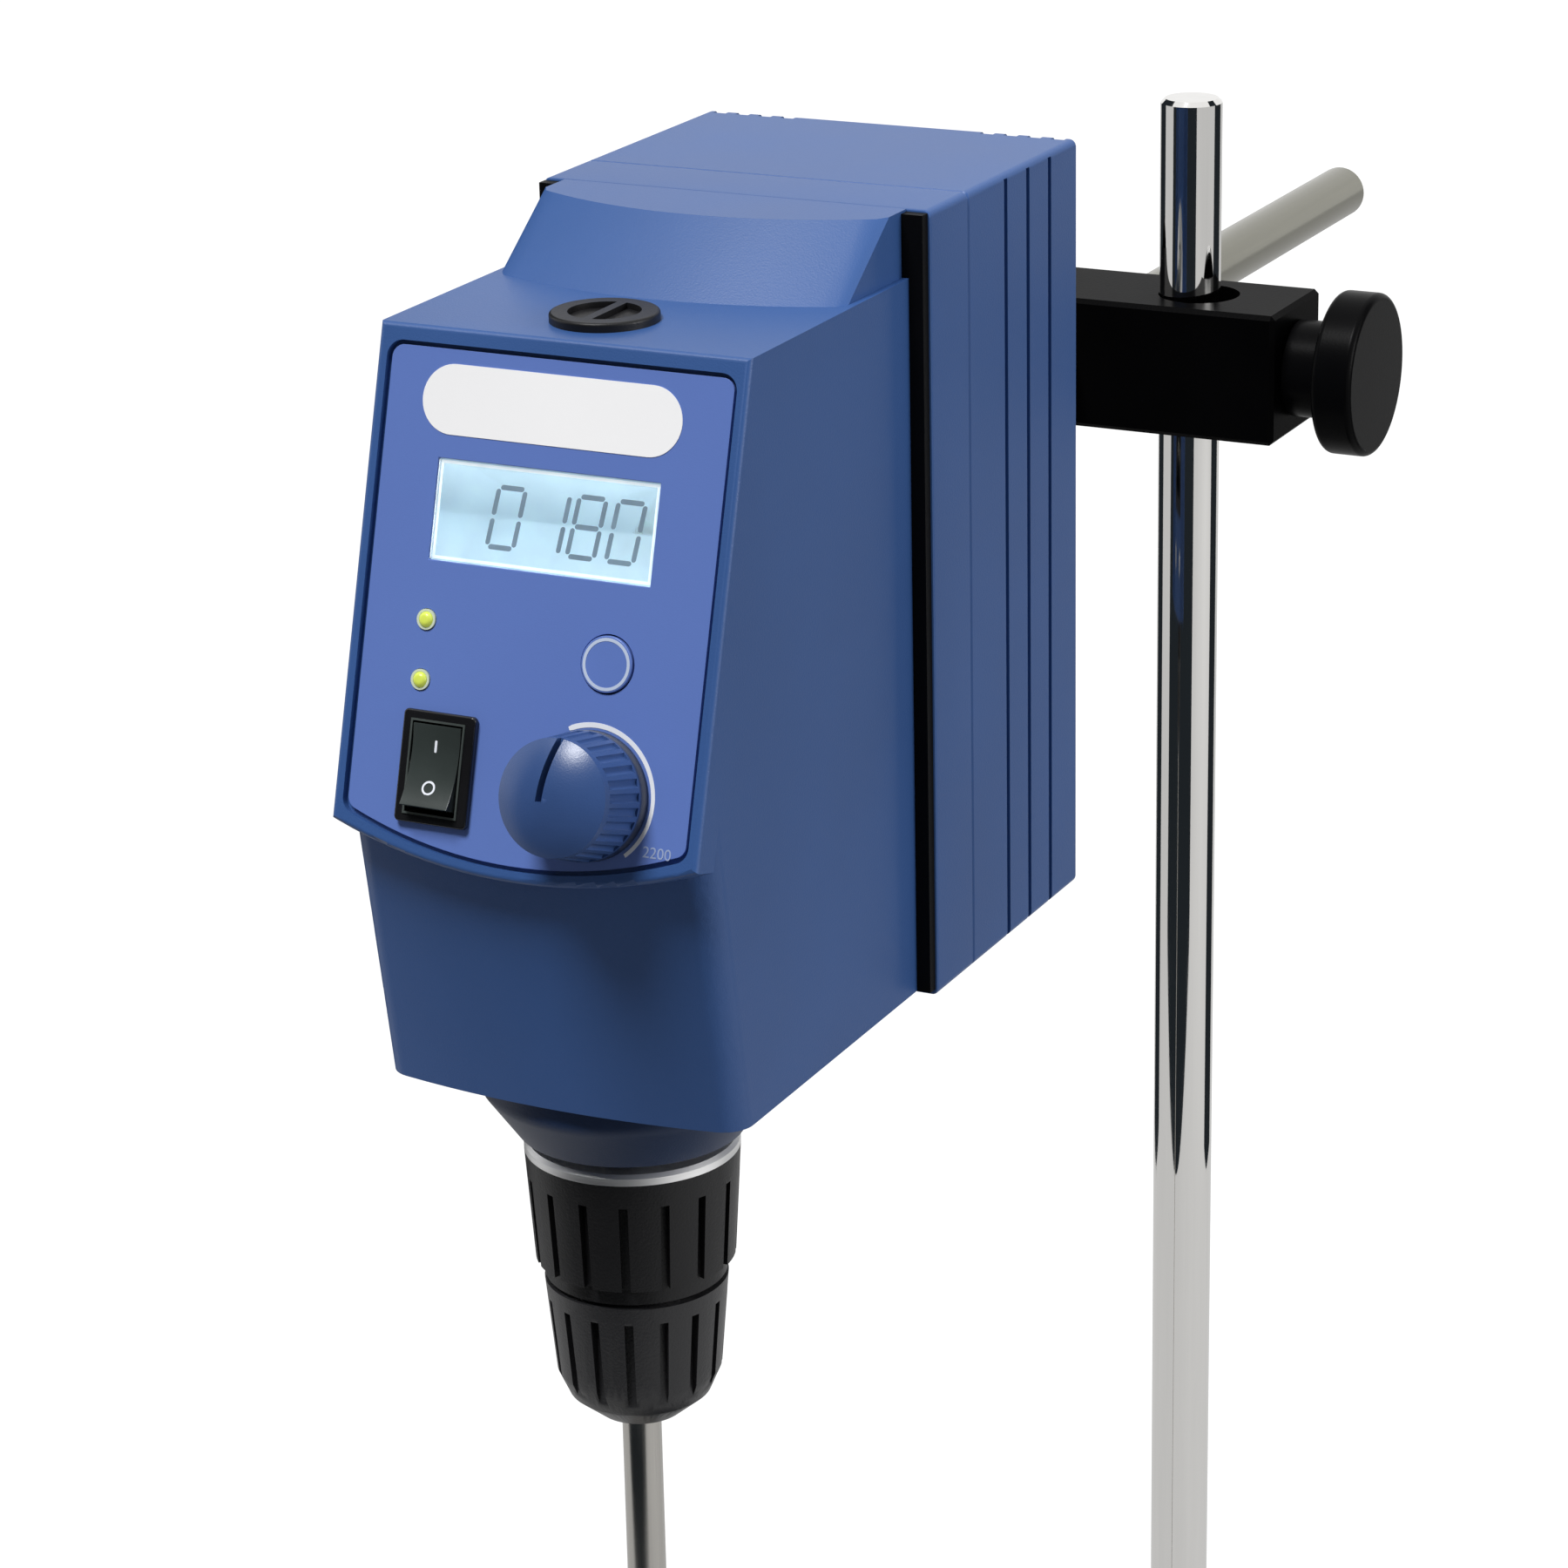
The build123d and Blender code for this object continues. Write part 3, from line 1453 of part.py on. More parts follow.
with BuildPart() as stirring_shaft:
    with BuildSketch(above_nose(shaft_bottom_height)):
        Circle(shaft_diameter / 2)
    extrude(amount=shaft_length)
    chamfer(stirring_shaft.edges().sort_by(Axis.Z)[-1], length=shaft_chamfer)
finish(stirring_shaft, "stirring_shaft")

hub_middle = shaft_bottom_height + propeller_hub_height / 2

with BuildPart() as propeller:
    with BuildSketch(above_nose(shaft_bottom_height)):
        Circle(propeller_hub_diameter / 2)
    extrude(amount=propeller_hub_height)
    for index in range(blade_count):
        blade_angle = index * 360 / blade_count
        blade_root = radial(blade_angle, hub_middle)
        blade_plane = Plane(origin=blade_root.origin, x_dir=blade_root.y_dir, z_dir=blade_root.x_dir)
        with BuildSketch(blade_plane):
            with Locations(Rotation(0, 0, blade_pitch)):
                Rectangle(blade_width, blade_thickness)
        extrude(amount=propeller_diameter / 2)
    with BuildSketch(above_nose(shaft_bottom_height)):
        Circle(shaft_diameter / 2 + propeller_clearance)
    extrude(amount=propeller_hub_height, mode=Mode.SUBTRACT)
finish(propeller, "propeller")
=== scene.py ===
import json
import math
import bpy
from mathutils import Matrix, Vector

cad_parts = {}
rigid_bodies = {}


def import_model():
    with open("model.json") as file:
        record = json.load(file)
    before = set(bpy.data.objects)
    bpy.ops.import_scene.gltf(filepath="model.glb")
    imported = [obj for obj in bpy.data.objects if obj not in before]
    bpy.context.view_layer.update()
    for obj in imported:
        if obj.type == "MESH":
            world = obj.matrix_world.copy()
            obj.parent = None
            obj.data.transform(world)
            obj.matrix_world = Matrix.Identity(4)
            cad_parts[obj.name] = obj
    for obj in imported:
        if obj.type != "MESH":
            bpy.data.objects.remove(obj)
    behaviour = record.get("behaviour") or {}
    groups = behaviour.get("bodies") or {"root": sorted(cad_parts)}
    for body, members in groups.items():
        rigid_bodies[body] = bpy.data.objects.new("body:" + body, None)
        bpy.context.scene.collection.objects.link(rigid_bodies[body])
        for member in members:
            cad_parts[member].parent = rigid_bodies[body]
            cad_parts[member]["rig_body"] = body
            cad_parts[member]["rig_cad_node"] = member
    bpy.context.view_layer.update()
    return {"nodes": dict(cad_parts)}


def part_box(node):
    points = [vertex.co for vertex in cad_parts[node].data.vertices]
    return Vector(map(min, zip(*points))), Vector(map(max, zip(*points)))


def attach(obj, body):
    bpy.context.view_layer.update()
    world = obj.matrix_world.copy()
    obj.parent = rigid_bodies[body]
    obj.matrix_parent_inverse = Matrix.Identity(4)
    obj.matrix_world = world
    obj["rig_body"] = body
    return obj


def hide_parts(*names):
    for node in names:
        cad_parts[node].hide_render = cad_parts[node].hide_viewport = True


bl_info = {
    "name": "Overhead Stirrer",
    "version": (1, 0, 0),
    "blender": (4, 5, 0),
    "location": "View3D > Sidebar > Stirrer",
    "description": "Dresses the overhead stirrer's solids with finishes, printing and small detail",
    "category": "Object",
}

import bmesh
import bpy
from bpy.props import FloatProperty, FloatVectorProperty, PointerProperty
from mathutils import Matrix, Vector
from mathutils.bvhtree import BVHTree

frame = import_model()

# ------------------------------------------------------------------ places on the object, in metres

MM = 0.001
TILT = math.radians(16.5)  # the panel's slope
PANEL_TOP = Vector((-0.028, -0.2425, 0.627))
PANEL_UP = Vector((0.0, math.sin(TILT), math.cos(TILT)))
PANEL_OUT = Vector((0.0, -math.cos(TILT), math.sin(TILT)))
SHEET_FACE = -0.6 * MM  # the panel's film, measured along PANEL_OUT
WELL_OUTSIDE = 0.05

# Spots on the panel in millimetres: x to the right and y up the slope.
LABEL_SPOT = (-1.1, -13.1)
DISPLAY_SPOT = (-0.4, -33.7)
DIGIT_ROW = -33.9
DIGITS = ((-8.2, "0"), (1.2, "1"), (8.8, "8"), (17.0, "0"))
LAMP_COLUMN = -22.9
LAMP_ROWS = (("upper", -54.46), ("lower", -65.80))
BUTTON_SPOT = (16.0, -58.3)
ROCKER_SPOT = (-17.2, -81.97)
KNOB_SPOT = (15.2, -82.78)
TOP_FIGURE_SPOT = (30.2, -91.6)

# How far these faces stand out of the panel's film.
CELL_FACE = -0.99 * MM
LAMP_FACE = -1.1 * MM
BUTTON_FACE = 0.5 * MM
ROCKER_FRAME_FACE = 1.6 * MM

# ------------------------------------------------------------------ sizes of small detail, in metres

FULL_TURN = 2 * math.pi
SHARP_EDGE = math.radians(30)
SMOOTH_EDGE = math.radians(40)

# Rounding of edges.
BLOCK_ROUND = 0.0006
CLAMP_KNOB_ROUND = 0.0003
PLATE_ROUND = 0.0015
SLEEVE_ROUND = 0.0004
PANEL_ROUND = 0.00025

# Print on the panel.
SCALE_START = math.radians(116)
SCALE_SWEEP = math.radians(-166)
SCALE_WIDTHS = (0.0010, 0.0007)  # at the start and at the end
TOP_FIGURE_HEIGHT = 0.0021
FIGURE_SHARE = 0.7  # a figure's height as a share of the font's size
BUTTON_RING_RADIUS = 0.0046

# The display's bars, as shares of a digit's height, and its border, a glowing pale line of painted
# highlight.
BAR_DEPTH = 0.00005
DIGIT_WIDTH_SHARE = 0.50
BAR_SHARE = 0.085
DIGIT_SLANT = Matrix(((1, 0.13, 0, 0), (0, 1, 0, 0), (0, 0, 1, 0), (0, 0, 0, 1)))
SEGMENTS = {"0": "abcdef", "1": "bc", "8": "abcdefg"}
DISPLAY_BORDER = (0.0463, 0.0185, 0.0006, BAR_DEPTH)  # width, height, line, depth

# The power rocker's lip and marks.
ROCKER_LIP = (0.0116, 0.0180, 0.0004, 0.0003)  # width, height, line, depth
ON_MARK = (0.0005, 0.0023)  # width, height
OFF_MARK = (0.0012, 0.0004)  # radius, line
ON_MARK_UP = 4.2  # in millimetres from the rocker's middle
OFF_MARK_UP = -3.6

# The status lamps.
LENS = (0.0015, 0.0021, 0.0010)  # radius, length, rounding of the dome
LENS_COLLAR = (0.00175, 0.00045, 0.0014)  # radius, wall, depth

# The back: cover screws and the inlet's contact pins.
SCREW_RADIUS = 0.0035
SCREW_HEIGHT = 0.0024
SCREW_ROUND = 0.0009
RECESS_BLADE = (0.0042, 0.0009, 0.0024)
PIN_SIZE = (0.00206, 0.0091, 0.00406)
PIN_TAPER = 0.0006
PIN_DEPTH = 0.01305  # from the inlet's outer face in to a pin's middle
PIN_SPOTS = ((-7.0, 0.0), (0.0, 2.0), (7.0, 0.0))  # in millimetres from the inlet's middle

# ------------------------------------------------------------------ lamps, floor and camera

LIGHT_AIM = Vector((0, -0.15, 0.5))
KEY_PLACE = Vector((-0.25, -1.05, 2.45))
KEY_WIDTH = math.radians(20)
SIDE_PLACE = Vector((2.1, 0.1, 1.1))
SIDE_SIZE = 0.9
CAMERA_PLACE = (0.38535, -0.97609, 0.83654)
CAMERA_TURN = (math.radians(70.534), math.radians(1.159), math.radians(26.330))
CAMERA_BEARING = math.atan2(-0.976, 0.385)
FLAGS = ((-130, 0.44), (-25, 1.2), (112, 0.34))  # bearing in degrees and width in metres
FLAG_REACH = 0.6
FLAG_MIDDLE = 0.75
FLAG_HEIGHT = 1.3
FLOOR_SIZE = 14
FLOOR_LEVEL = -0.0005
WHITE = (1, 1, 1, 1)


def panel_matrix(x, y, out=0.0):
    """Matrix of a spot on the panel: x right and y up the slope in millimetres, out in metres."""
    turn = Matrix((Vector((1, 0, 0)), PANEL_UP, PANEL_OUT)).transposed().to_4x4()
    spot = PANEL_TOP + Vector((x * MM, 0, 0)) + PANEL_UP * y * MM + PANEL_OUT * (SHEET_FACE + out)
    return Matrix.Translation(spot) @ turn


# ------------------------------------------------------------------ settings a user would change

class StirrerFinish(bpy.types.PropertyGroup):
    """Colours and roughness of the finishes."""

    casing: FloatVectorProperty(
        name="Casing", description="Blue of the moulded casing", subtype="COLOR", size=3,
        min=0, max=1, default=(0.036, 0.100, 0.295),
    )
    panel: FloatVectorProperty(
        name="Panel", description="Blue of the panel's printed film", subtype="COLOR", size=3,
        min=0, max=1, default=(0.118, 0.198, 0.530),
    )
    knob: FloatVectorProperty(
        name="Knob", description="Blue of the speed knob", subtype="COLOR", size=3,
        min=0, max=1, default=(0.036, 0.080, 0.225),
    )
    black: FloatVectorProperty(
        name="Black", description="Black of the clamp, cap and frames", subtype="COLOR", size=3,
        min=0, max=1, default=(0.009, 0.009, 0.010),
    )
    sleeve: FloatVectorProperty(
        name="Sleeve", description="Charcoal of the chuck's sleeves", subtype="COLOR", size=3,
        min=0, max=1, default=(0.009, 0.009, 0.010),
    )
    display: FloatVectorProperty(
        name="Display", description="Tint of the lit display", subtype="COLOR", size=3,
        min=0, max=1, default=(0.60, 0.80, 0.90),
    )
    lamp: FloatVectorProperty(
        name="Status lamp", description="Colour of the lit status lamps", subtype="COLOR", size=3,
        min=0, max=1, default=(0.62, 0.72, 0.10),
    )
    casing_roughness: FloatProperty(
        name="Casing roughness", description="Roughness of the moulded casing",
        min=0, max=1, default=0.42,
    )
    edge_round: FloatProperty(
        name="Edge rounding", description="Rounding of the casing's sharp edges", unit="LENGTH",
        min=0, max=0.002, default=0.0006,
    )


class StirrerPrint(bpy.types.PropertyGroup):
    """Sizes of what is printed on the panel."""

    label_width: FloatProperty(
        name="Label width", description="Width of the bare white label", unit="LENGTH",
        default=0.0547,
    )
    label_height: FloatProperty(
        name="Label height", description="Height of the bare white label", unit="LENGTH",
        default=0.0132,
    )
    digit_height: FloatProperty(
        name="Digit height", description="Height of the display's digits", unit="LENGTH",
        default=0.0112,
    )
    scale_radius: FloatProperty(
        name="Scale radius", description="Radius of the speed scale's arc", unit="LENGTH",
        default=0.0131,
    )
    ring_width: FloatProperty(
        name="Ring width", description="Width of the line round the mode button", unit="LENGTH",
        default=0.0006,
    )
    film: FloatProperty(
        name="Ink thickness", description="Thickness of the printing, and half the label's",
        unit="LENGTH", default=0.00006,
    )


class StirrerStage(bpy.types.PropertyGroup):
    """Camera, lamps and floor."""

    lens: FloatProperty(
        name="Lens", description="Focal length in millimetres", default=107.585,
    )
    key_strength: FloatProperty(
        name="Key strength", description="Strength of the high front light", default=3.4,
    )
    side_power: FloatProperty(
        name="Side power", description="Power of the lamp on the right in watts", default=21.0,
    )
    floor_glow: FloatProperty(
        name="Floor glow", description="Light that the floor adds to its own shade in view",
        min=0, max=1, default=0.82,
    )
    floor_mirrored: FloatProperty(
        name="Floor in mirrors", description="Share of the floor's glow that polished metal shows",
        min=0, max=1, default=0.45,
    )
    world_strength: FloatProperty(
        name="Room light", description="Strength of the room's even light",
        min=0, max=2, default=0.15,
    )


def finish_of():
    """The settings of the finishes."""
    return bpy.context.scene.stirrer_finish


def print_of():
    """The settings of the printing."""
    return bpy.context.scene.stirrer_print


# ------------------------------------------------------------------ modelling helpers

def deselect():
    """Leave edit mode and select nothing."""
    if bpy.context.object and bpy.context.object.mode != "OBJECT":
        bpy.ops.object.mode_set(mode="OBJECT")
    bpy.ops.object.select_all(action="DESELECT")


def pick(piece):
    """Select one object alone and make it active."""
    deselect()
    piece.select_set(True)
    bpy.context.view_layer.objects.active = piece


def rename(piece, name):
    """Give a piece and its mesh the same name."""
    piece.name = name
    piece.data.name = name
    return piece


def settle(piece, name):
    """Name a piece and put its place into its mesh, so that its object sits at the origin."""
    pick(piece)
    bpy.ops.object.transform_apply(location=True, rotation=True, scale=True)
    return rename(piece, name)


def put(piece, matrix):
    """Move a piece that was modelled at the origin to its place."""
    piece.data.transform(matrix)
    piece.data.update()
    return piece


def select_faces(piece, test):
    """In edit mode, select the faces that pass a test of centre and normal."""
    bpy.ops.mesh.select_all(action="DESELECT")
    bpy.ops.mesh.select_mode(type="FACE")
    mesh = bmesh.from_edit_mesh(piece.data)
    for face in mesh.faces:
        face.select_set(test(face.calc_center_median(), face.normal))
    bmesh.update_edit_mesh(piece.data)


def apply_modifier(piece, name, kind, **values):
    """Add a modifier with its values and apply it."""
    modifier = piece.modifiers.new(name, kind)
    for key, value in values.items():
        setattr(modifier, key, value)
    bpy.ops.object.modifier_apply(modifier=modifier.name)


def bevel_edges(piece, width, segments):
    """Round a piece's sharp edges, then shade it smooth with its flats kept flat."""
    pick(piece)
    apply_modifier(
        piece, "round", "BEVEL",
        width=width, segments=segments, limit_method="ANGLE", angle_limit=SHARP_EDGE,
    )
    bpy.ops.object.shade_smooth_by_angle(angle=SMOOTH_EDGE)
    apply_modifier(piece, "flats", "WEIGHTED_NORMAL", weight=100, keep_sharp=True)


def rounded_node(node, name, width, body, segments=2):
    """A copy of a solid that stands for it: doubles merged, flats dissolved and edges rounded."""
    piece = copy_of(frame["nodes"][node], name)
    piece.parent = None
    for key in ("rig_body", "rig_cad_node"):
        del piece[key]
    piece.data.materials.clear()
    bpy.ops.object.mode_set(mode="EDIT")
    bpy.ops.mesh.select_all(action="SELECT")
    bpy.ops.mesh.remove_doubles(threshold=0.000002)
    bpy.ops.mesh.customdata_custom_splitnormals_clear()
    bpy.ops.mesh.dissolve_limited(angle_limit=math.radians(0.4))
    bpy.ops.object.mode_set(mode="OBJECT")
    bevel_edges(piece, width, segments)
    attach(piece, body)
    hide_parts(node)
    return piece


def flat_plane(name, width=1, height=1):
    """A plane of that size at the origin."""
    deselect()
    bpy.ops.mesh.primitive_plane_add(size=1, location=(0, 0, 0))
    piece = bpy.context.object
    piece.scale = (width, height, 1)
    return settle(piece, name)


def raise_flat(depth):
    """In edit mode, extrude a flat form upwards, turn its faces outwards and leave edit mode."""
    bpy.ops.mesh.select_all(action="SELECT")
    bpy.ops.mesh.extrude_region_move(TRANSFORM_OT_translate={"value": (0, 0, depth)})
    bpy.ops.mesh.select_all(action="SELECT")
    bpy.ops.mesh.normals_make_consistent(inside=False)
    bpy.ops.object.mode_set(mode="OBJECT")


def rounded_bar(name, width, height, depth, corner, steps):
    """A flat bar with rounded corners: a plane, bevelled at its corners and extruded."""
    piece = flat_plane(name, width, height)
    bpy.ops.object.mode_set(mode="EDIT")
    bpy.ops.mesh.select_mode(type="VERT")
    bpy.ops.mesh.select_all(action="SELECT")
    # A hair under the full corner, so that a half-round end keeps its two arcs apart.
    bpy.ops.mesh.bevel(offset=corner * 0.999, segments=steps, affect="VERTICES")
    raise_flat(depth)
    return piece


def ring_strip(name, radius, width, depth, steps, start=0.0, sweep=FULL_TURN, end_width=None):
    """A flat arc strip: a short line spun round the origin, tapered if asked, and extruded."""
    end_width = width if end_width is None else end_width
    piece = flat_plane(name)
    bpy.ops.object.mode_set(mode="EDIT")
    mesh = bmesh.from_edit_mesh(piece.data)
    bmesh.ops.delete(mesh, geom=mesh.verts[:], context="VERTS")
    direction = Vector((math.cos(start), math.sin(start), 0))
    ends = [mesh.verts.new(direction * (radius + side * width / 2)) for side in (-1, 1)]
    mesh.edges.new(ends).select_set(True)
    bmesh.update_edit_mesh(piece.data)
    # Without a window the spin turns the other way round.
    bpy.ops.mesh.spin(steps=steps, angle=-sweep, center=(0, 0, 0), axis=(0, 0, 1))
    bpy.ops.mesh.select_all(action="SELECT")
    bpy.ops.mesh.remove_doubles(threshold=0.000001)
    if abs(sweep) != FULL_TURN:
        mesh = bmesh.from_edit_mesh(piece.data)
        for vert in mesh.verts:
            angle = math.atan2(vert.co.y, vert.co.x)
            share = ((angle - start) / sweep) % (FULL_TURN / abs(sweep))
            half = (width + (end_width - width) * min(share, 1.0)) / 2
            side = 1 if vert.co.length > radius else -1
            vert.co = vert.co.normalized() * (radius + side * half)
        bmesh.update_edit_mesh(piece.data)
    raise_flat(depth)
    return piece


def frame_strip(name, width, height, line, depth):
    """A flat rectangular frame: a plane inset by the line's width, opened and extruded."""
    piece = flat_plane(name, width, height)
    bpy.ops.object.mode_set(mode="EDIT")
    bpy.ops.mesh.select_mode(type="FACE")
    bpy.ops.mesh.select_all(action="SELECT")
    bpy.ops.mesh.inset(thickness=line)
    bpy.ops.mesh.delete(type="FACE")
    raise_flat(depth)
    return piece


def turned_peg(name, radius, length, top_round, segments):
    """A round peg standing on the origin, its upper edge rounded in edit mode."""
    deselect()
    bpy.ops.mesh.primitive_cylinder_add(
        radius=radius, depth=length, vertices=40, location=(0, 0, length / 2)
    )
    piece = settle(bpy.context.object, name)
    bpy.ops.object.mode_set(mode="EDIT")
    select_faces(piece, lambda centre, normal: normal.z > 0.9)
    bpy.ops.mesh.bevel(offset=top_round, segments=segments, affect="EDGES")
    bpy.ops.object.mode_set(mode="OBJECT")
    bpy.ops.object.shade_smooth_by_angle(angle=SMOOTH_EDGE)
    return piece


def copy_of(piece, name):
    """A copy of a piece with its own mesh, selected alone."""
    pick(piece)
    bpy.ops.object.duplicate()
    return rename(bpy.context.object, name)


def surface_spot(node, x, y):
    """Matrix of the spot where a line square to the panel meets a solid, its z out of the face."""
    mesh = frame["nodes"][node].data
    corners = [vert.co for vert in mesh.vertices]
    tree = BVHTree.FromPolygons(corners, [tuple(face.vertices) for face in mesh.polygons])
    start = panel_matrix(x, y, WELL_OUTSIDE).translation
    place, normal, *_ = tree.ray_cast(start, -PANEL_OUT)
    if place is None:
        raise RuntimeError("no surface under the mark on " + node)
    along = Vector((1, 0, 0)) - normal * normal.x
    along.normalize()
    turn = Matrix((along, normal.cross(along), normal)).transposed().to_4x4()
    return Matrix.Translation(place) @ turn


def lettering(name, text, height, depth):
    """Plain figures as a thin mesh in its own plane."""
    deselect()
    bpy.ops.object.text_add(location=(0, 0, 0))
    piece = bpy.context.object
    piece.data.body = text
    piece.data.size = height / FIGURE_SHARE
    piece.data.extrude = depth / 2
    piece.data.align_x = "CENTER"
    piece.data.align_y = "CENTER"
    piece.data.resolution_u = 3
    pick(piece)
    bpy.ops.object.convert(target="MESH")
    piece = settle(bpy.context.object, name)
    return put(piece, Matrix.Translation((0, 0, depth / 2)))


def join(pieces, name):
    """Join several meshes into one piece."""
    deselect()
    for piece in pieces:
        piece.select_set(True)
    bpy.context.view_layer.objects.active = pieces[0]
    bpy.ops.object.join()
    return rename(bpy.context.object, name)


# ------------------------------------------------------------------ shared shader effects

def new_group(name, inputs, outputs):
    """An empty shader group with named sockets: (kind, name, default)."""
    group = bpy.data.node_groups.new(name, "ShaderNodeTree")
    for kind, label, default in inputs:
        socket = group.interface.new_socket(name=label, in_out="INPUT", socket_type=kind)
        if default is not None:
            socket.default_value = default
    for kind, label in outputs:
        group.interface.new_socket(name=label, in_out="OUTPUT", socket_type=kind)
    return group, group.nodes.new("NodeGroupInput"), group.nodes.new("NodeGroupOutput")


def feed(tree, socket, value):
    """Link a value into a socket where it is a socket itself, and set it otherwise."""
    if isinstance(value, bpy.types.NodeSocket):
        tree.links.new(value, socket)
    else:
        socket.default_value = value


def noise(tree, place, scale, detail=2.0, roughness=0.5):
    """Soft noise over a place."""
    node = tree.nodes.new("ShaderNodeTexNoise")
    node.inputs["Detail"].default_value = detail
    node.inputs["Roughness"].default_value = roughness
    feed(tree, node.inputs["Vector"], place)
    feed(tree, node.inputs["Scale"], scale)
    return node.outputs["Fac"]


def arithmetic(tree, operation, a, b):
    """A Math node on two values."""
    node = tree.nodes.new("ShaderNodeMath")
    node.operation = operation
    feed(tree, node.inputs[0], a)
    feed(tree, node.inputs[1], b)
    return node.outputs[0]


def spread(tree, value, low, high, to_low, to_high):
    """A value mapped from one range of numbers to another."""
    node = tree.nodes.new("ShaderNodeMapRange")
    numbers = {"From Min": low, "From Max": high, "To Min": to_low, "To Max": to_high}
    for label, number in numbers.items():
        node.inputs[label].default_value = number
    tree.links.new(value, node.inputs["Value"])
    return node.outputs["Result"]


def color_mix(tree, share, first, second):
    """A colour that goes from a first to a second as the share goes from 0 to 1."""
    mix = tree.nodes.new("ShaderNodeMix")
    mix.data_type = "RGBA"
    for label, value in (("Factor", share), ("A", first), ("B", second)):
        feed(tree, mix.inputs[label], value)
    return mix.outputs["Result"]


def uneven_gloss(group, given, mask, middle):
    """The group's base roughness, raised and lowered as a mask leaves its middle."""
    off = arithmetic(group, "SUBTRACT", mask, middle)
    lift = arithmetic(group, "MULTIPLY", off, given.outputs["Gloss Spread"])
    return arithmetic(group, "ADD", given.outputs["Base Roughness"], lift)


def grain_group():
    """Fine moulded or painted grain: a height for the bump and a slow cloud for colour and gloss."""
    group, given, result = new_group(
        "surface_grain",
        [
            ("NodeSocketVector", "Place", None),
            ("NodeSocketFloat", "Grain", 2200.0),
            ("NodeSocketFloat", "Cloud", 22.0),
            ("NodeSocketFloat", "Base Roughness", 0.4),
            ("NodeSocketFloat", "Gloss Spread", 0.06),
        ],
        [
            ("NodeSocketFloat", "Height"),
            ("NodeSocketFloat", "Cloud"),
            ("NodeSocketFloat", "Roughness"),
        ],
    )
    place, grain = given.outputs["Place"], given.outputs["Grain"]
    fine = noise(group, place, grain, 3.0, 0.6)
    cloud = noise(group, place, given.outputs["Cloud"], 4.0)
    pits = group.nodes.new("ShaderNodeTexVoronoi")
    group.links.new(place, pits.inputs["Vector"])
    group.links.new(grain, pits.inputs["Scale"])
    pit_height = arithmetic(group, "MULTIPLY", pits.outputs["Distance"], 0.5)
    group.links.new(arithmetic(group, "ADD", fine, pit_height), result.inputs["Height"])
    group.links.new(cloud, result.inputs["Cloud"])
    group.links.new(uneven_gloss(group, given, cloud, 0.5), result.inputs["Roughness"])
    return group


def machined_group():
    """Machining marks: fine lines stretched along one direction, with smudges of handling."""
    group, given, result = new_group(
        "machined_marks",
        [
            ("NodeSocketVector", "Place", None),
            ("NodeSocketVector", "Stretch", (1.0, 1.0, 1.0)),
            ("NodeSocketFloat", "Lines", 900.0),
            ("NodeSocketFloat", "Base Roughness", 0.25),
            ("NodeSocketFloat", "Gloss Spread", 0.15),
        ],
        [
            ("NodeSocketFloat", "Height"),
            ("NodeSocketFloat", "Tone"),
            ("NodeSocketFloat", "Roughness"),
        ],
    )
    scaled = group.nodes.new("ShaderNodeVectorMath")
    scaled.operation = "MULTIPLY"
    group.links.new(given.outputs["Place"], scaled.inputs[0])
    group.links.new(given.outputs["Stretch"], scaled.inputs[1])
    lines = noise(group, scaled.outputs[0], given.outputs["Lines"], 4.0, 0.65)
    smudge = noise(group, given.outputs["Place"], 35.0, 5.0)
    both = arithmetic(group, "ADD", lines, smudge)
    group.links.new(lines, result.inputs["Height"])
    group.links.new(lines, result.inputs["Tone"])
    group.links.new(uneven_gloss(group, given, both, 1.0), result.inputs["Roughness"])
    return group


def blend_group():
    """Mixes two colours by a slow mask, sharpened or softened by its contrast."""
    group, given, result = new_group(
        "tone_blend",
        [
            ("NodeSocketFloat", "Mask", 0.5),
            ("NodeSocketFloat", "Contrast", 2.0),
            ("NodeSocketColor", "Dark", (0.1, 0.1, 0.1, 1)),
            ("NodeSocketColor", "Light", (0.2, 0.2, 0.2, 1)),
        ],
        [("NodeSocketColor", "Color")],
    )
    centred = arithmetic(group, "SUBTRACT", given.outputs["Mask"], 0.5)
    sharpened = arithmetic(group, "MULTIPLY", centred, given.outputs["Contrast"])
    share = arithmetic(group, "ADD", sharpened, 0.5)
    mixed = color_mix(group, share, given.outputs["Dark"], given.outputs["Light"])
    group.links.new(mixed, result.inputs["Color"])
    return group


EFFECT_MAKERS = {
    "surface_grain": grain_group,
    "machined_marks": machined_group,
    "tone_blend": blend_group,
}
EFFECTS = {}


def place_group(tree, name):
    """Place the shared group of that name, which is built once."""
    if name not in EFFECTS:
        EFFECTS[name] = EFFECT_MAKERS[name]()
    node = tree.nodes.new("ShaderNodeGroup")
    node.node_tree = EFFECTS[name]
    return node


# ------------------------------------------------------------------ materials

def start_material(name):
    """A new material with its tree, its surface shader and the place on the object."""
    material = bpy.data.materials.new(name)
    material.use_nodes = True
    tree = material.node_tree
    surface = tree.nodes["Principled BSDF"]
    place = tree.nodes.new("ShaderNodeTexCoord").outputs["Object"]
    return material, tree, surface, place


def shade(color, factor):
    """A colour made darker or lighter, with full alpha."""
    return tuple(min(1.0, c * factor) for c in color[:3]) + (1.0,)


def toned(tree, mask, color, darker, lighter):
    """The colour with its tone varied by a mask."""
    tone = place_group(tree, "tone_blend")
    tone.inputs["Dark"].default_value = shade(color, 1 - darker)
    tone.inputs["Light"].default_value = shade(color, 1 + lighter)
    tree.links.new(mask, tone.inputs["Mask"])
    return tone.outputs["Color"]


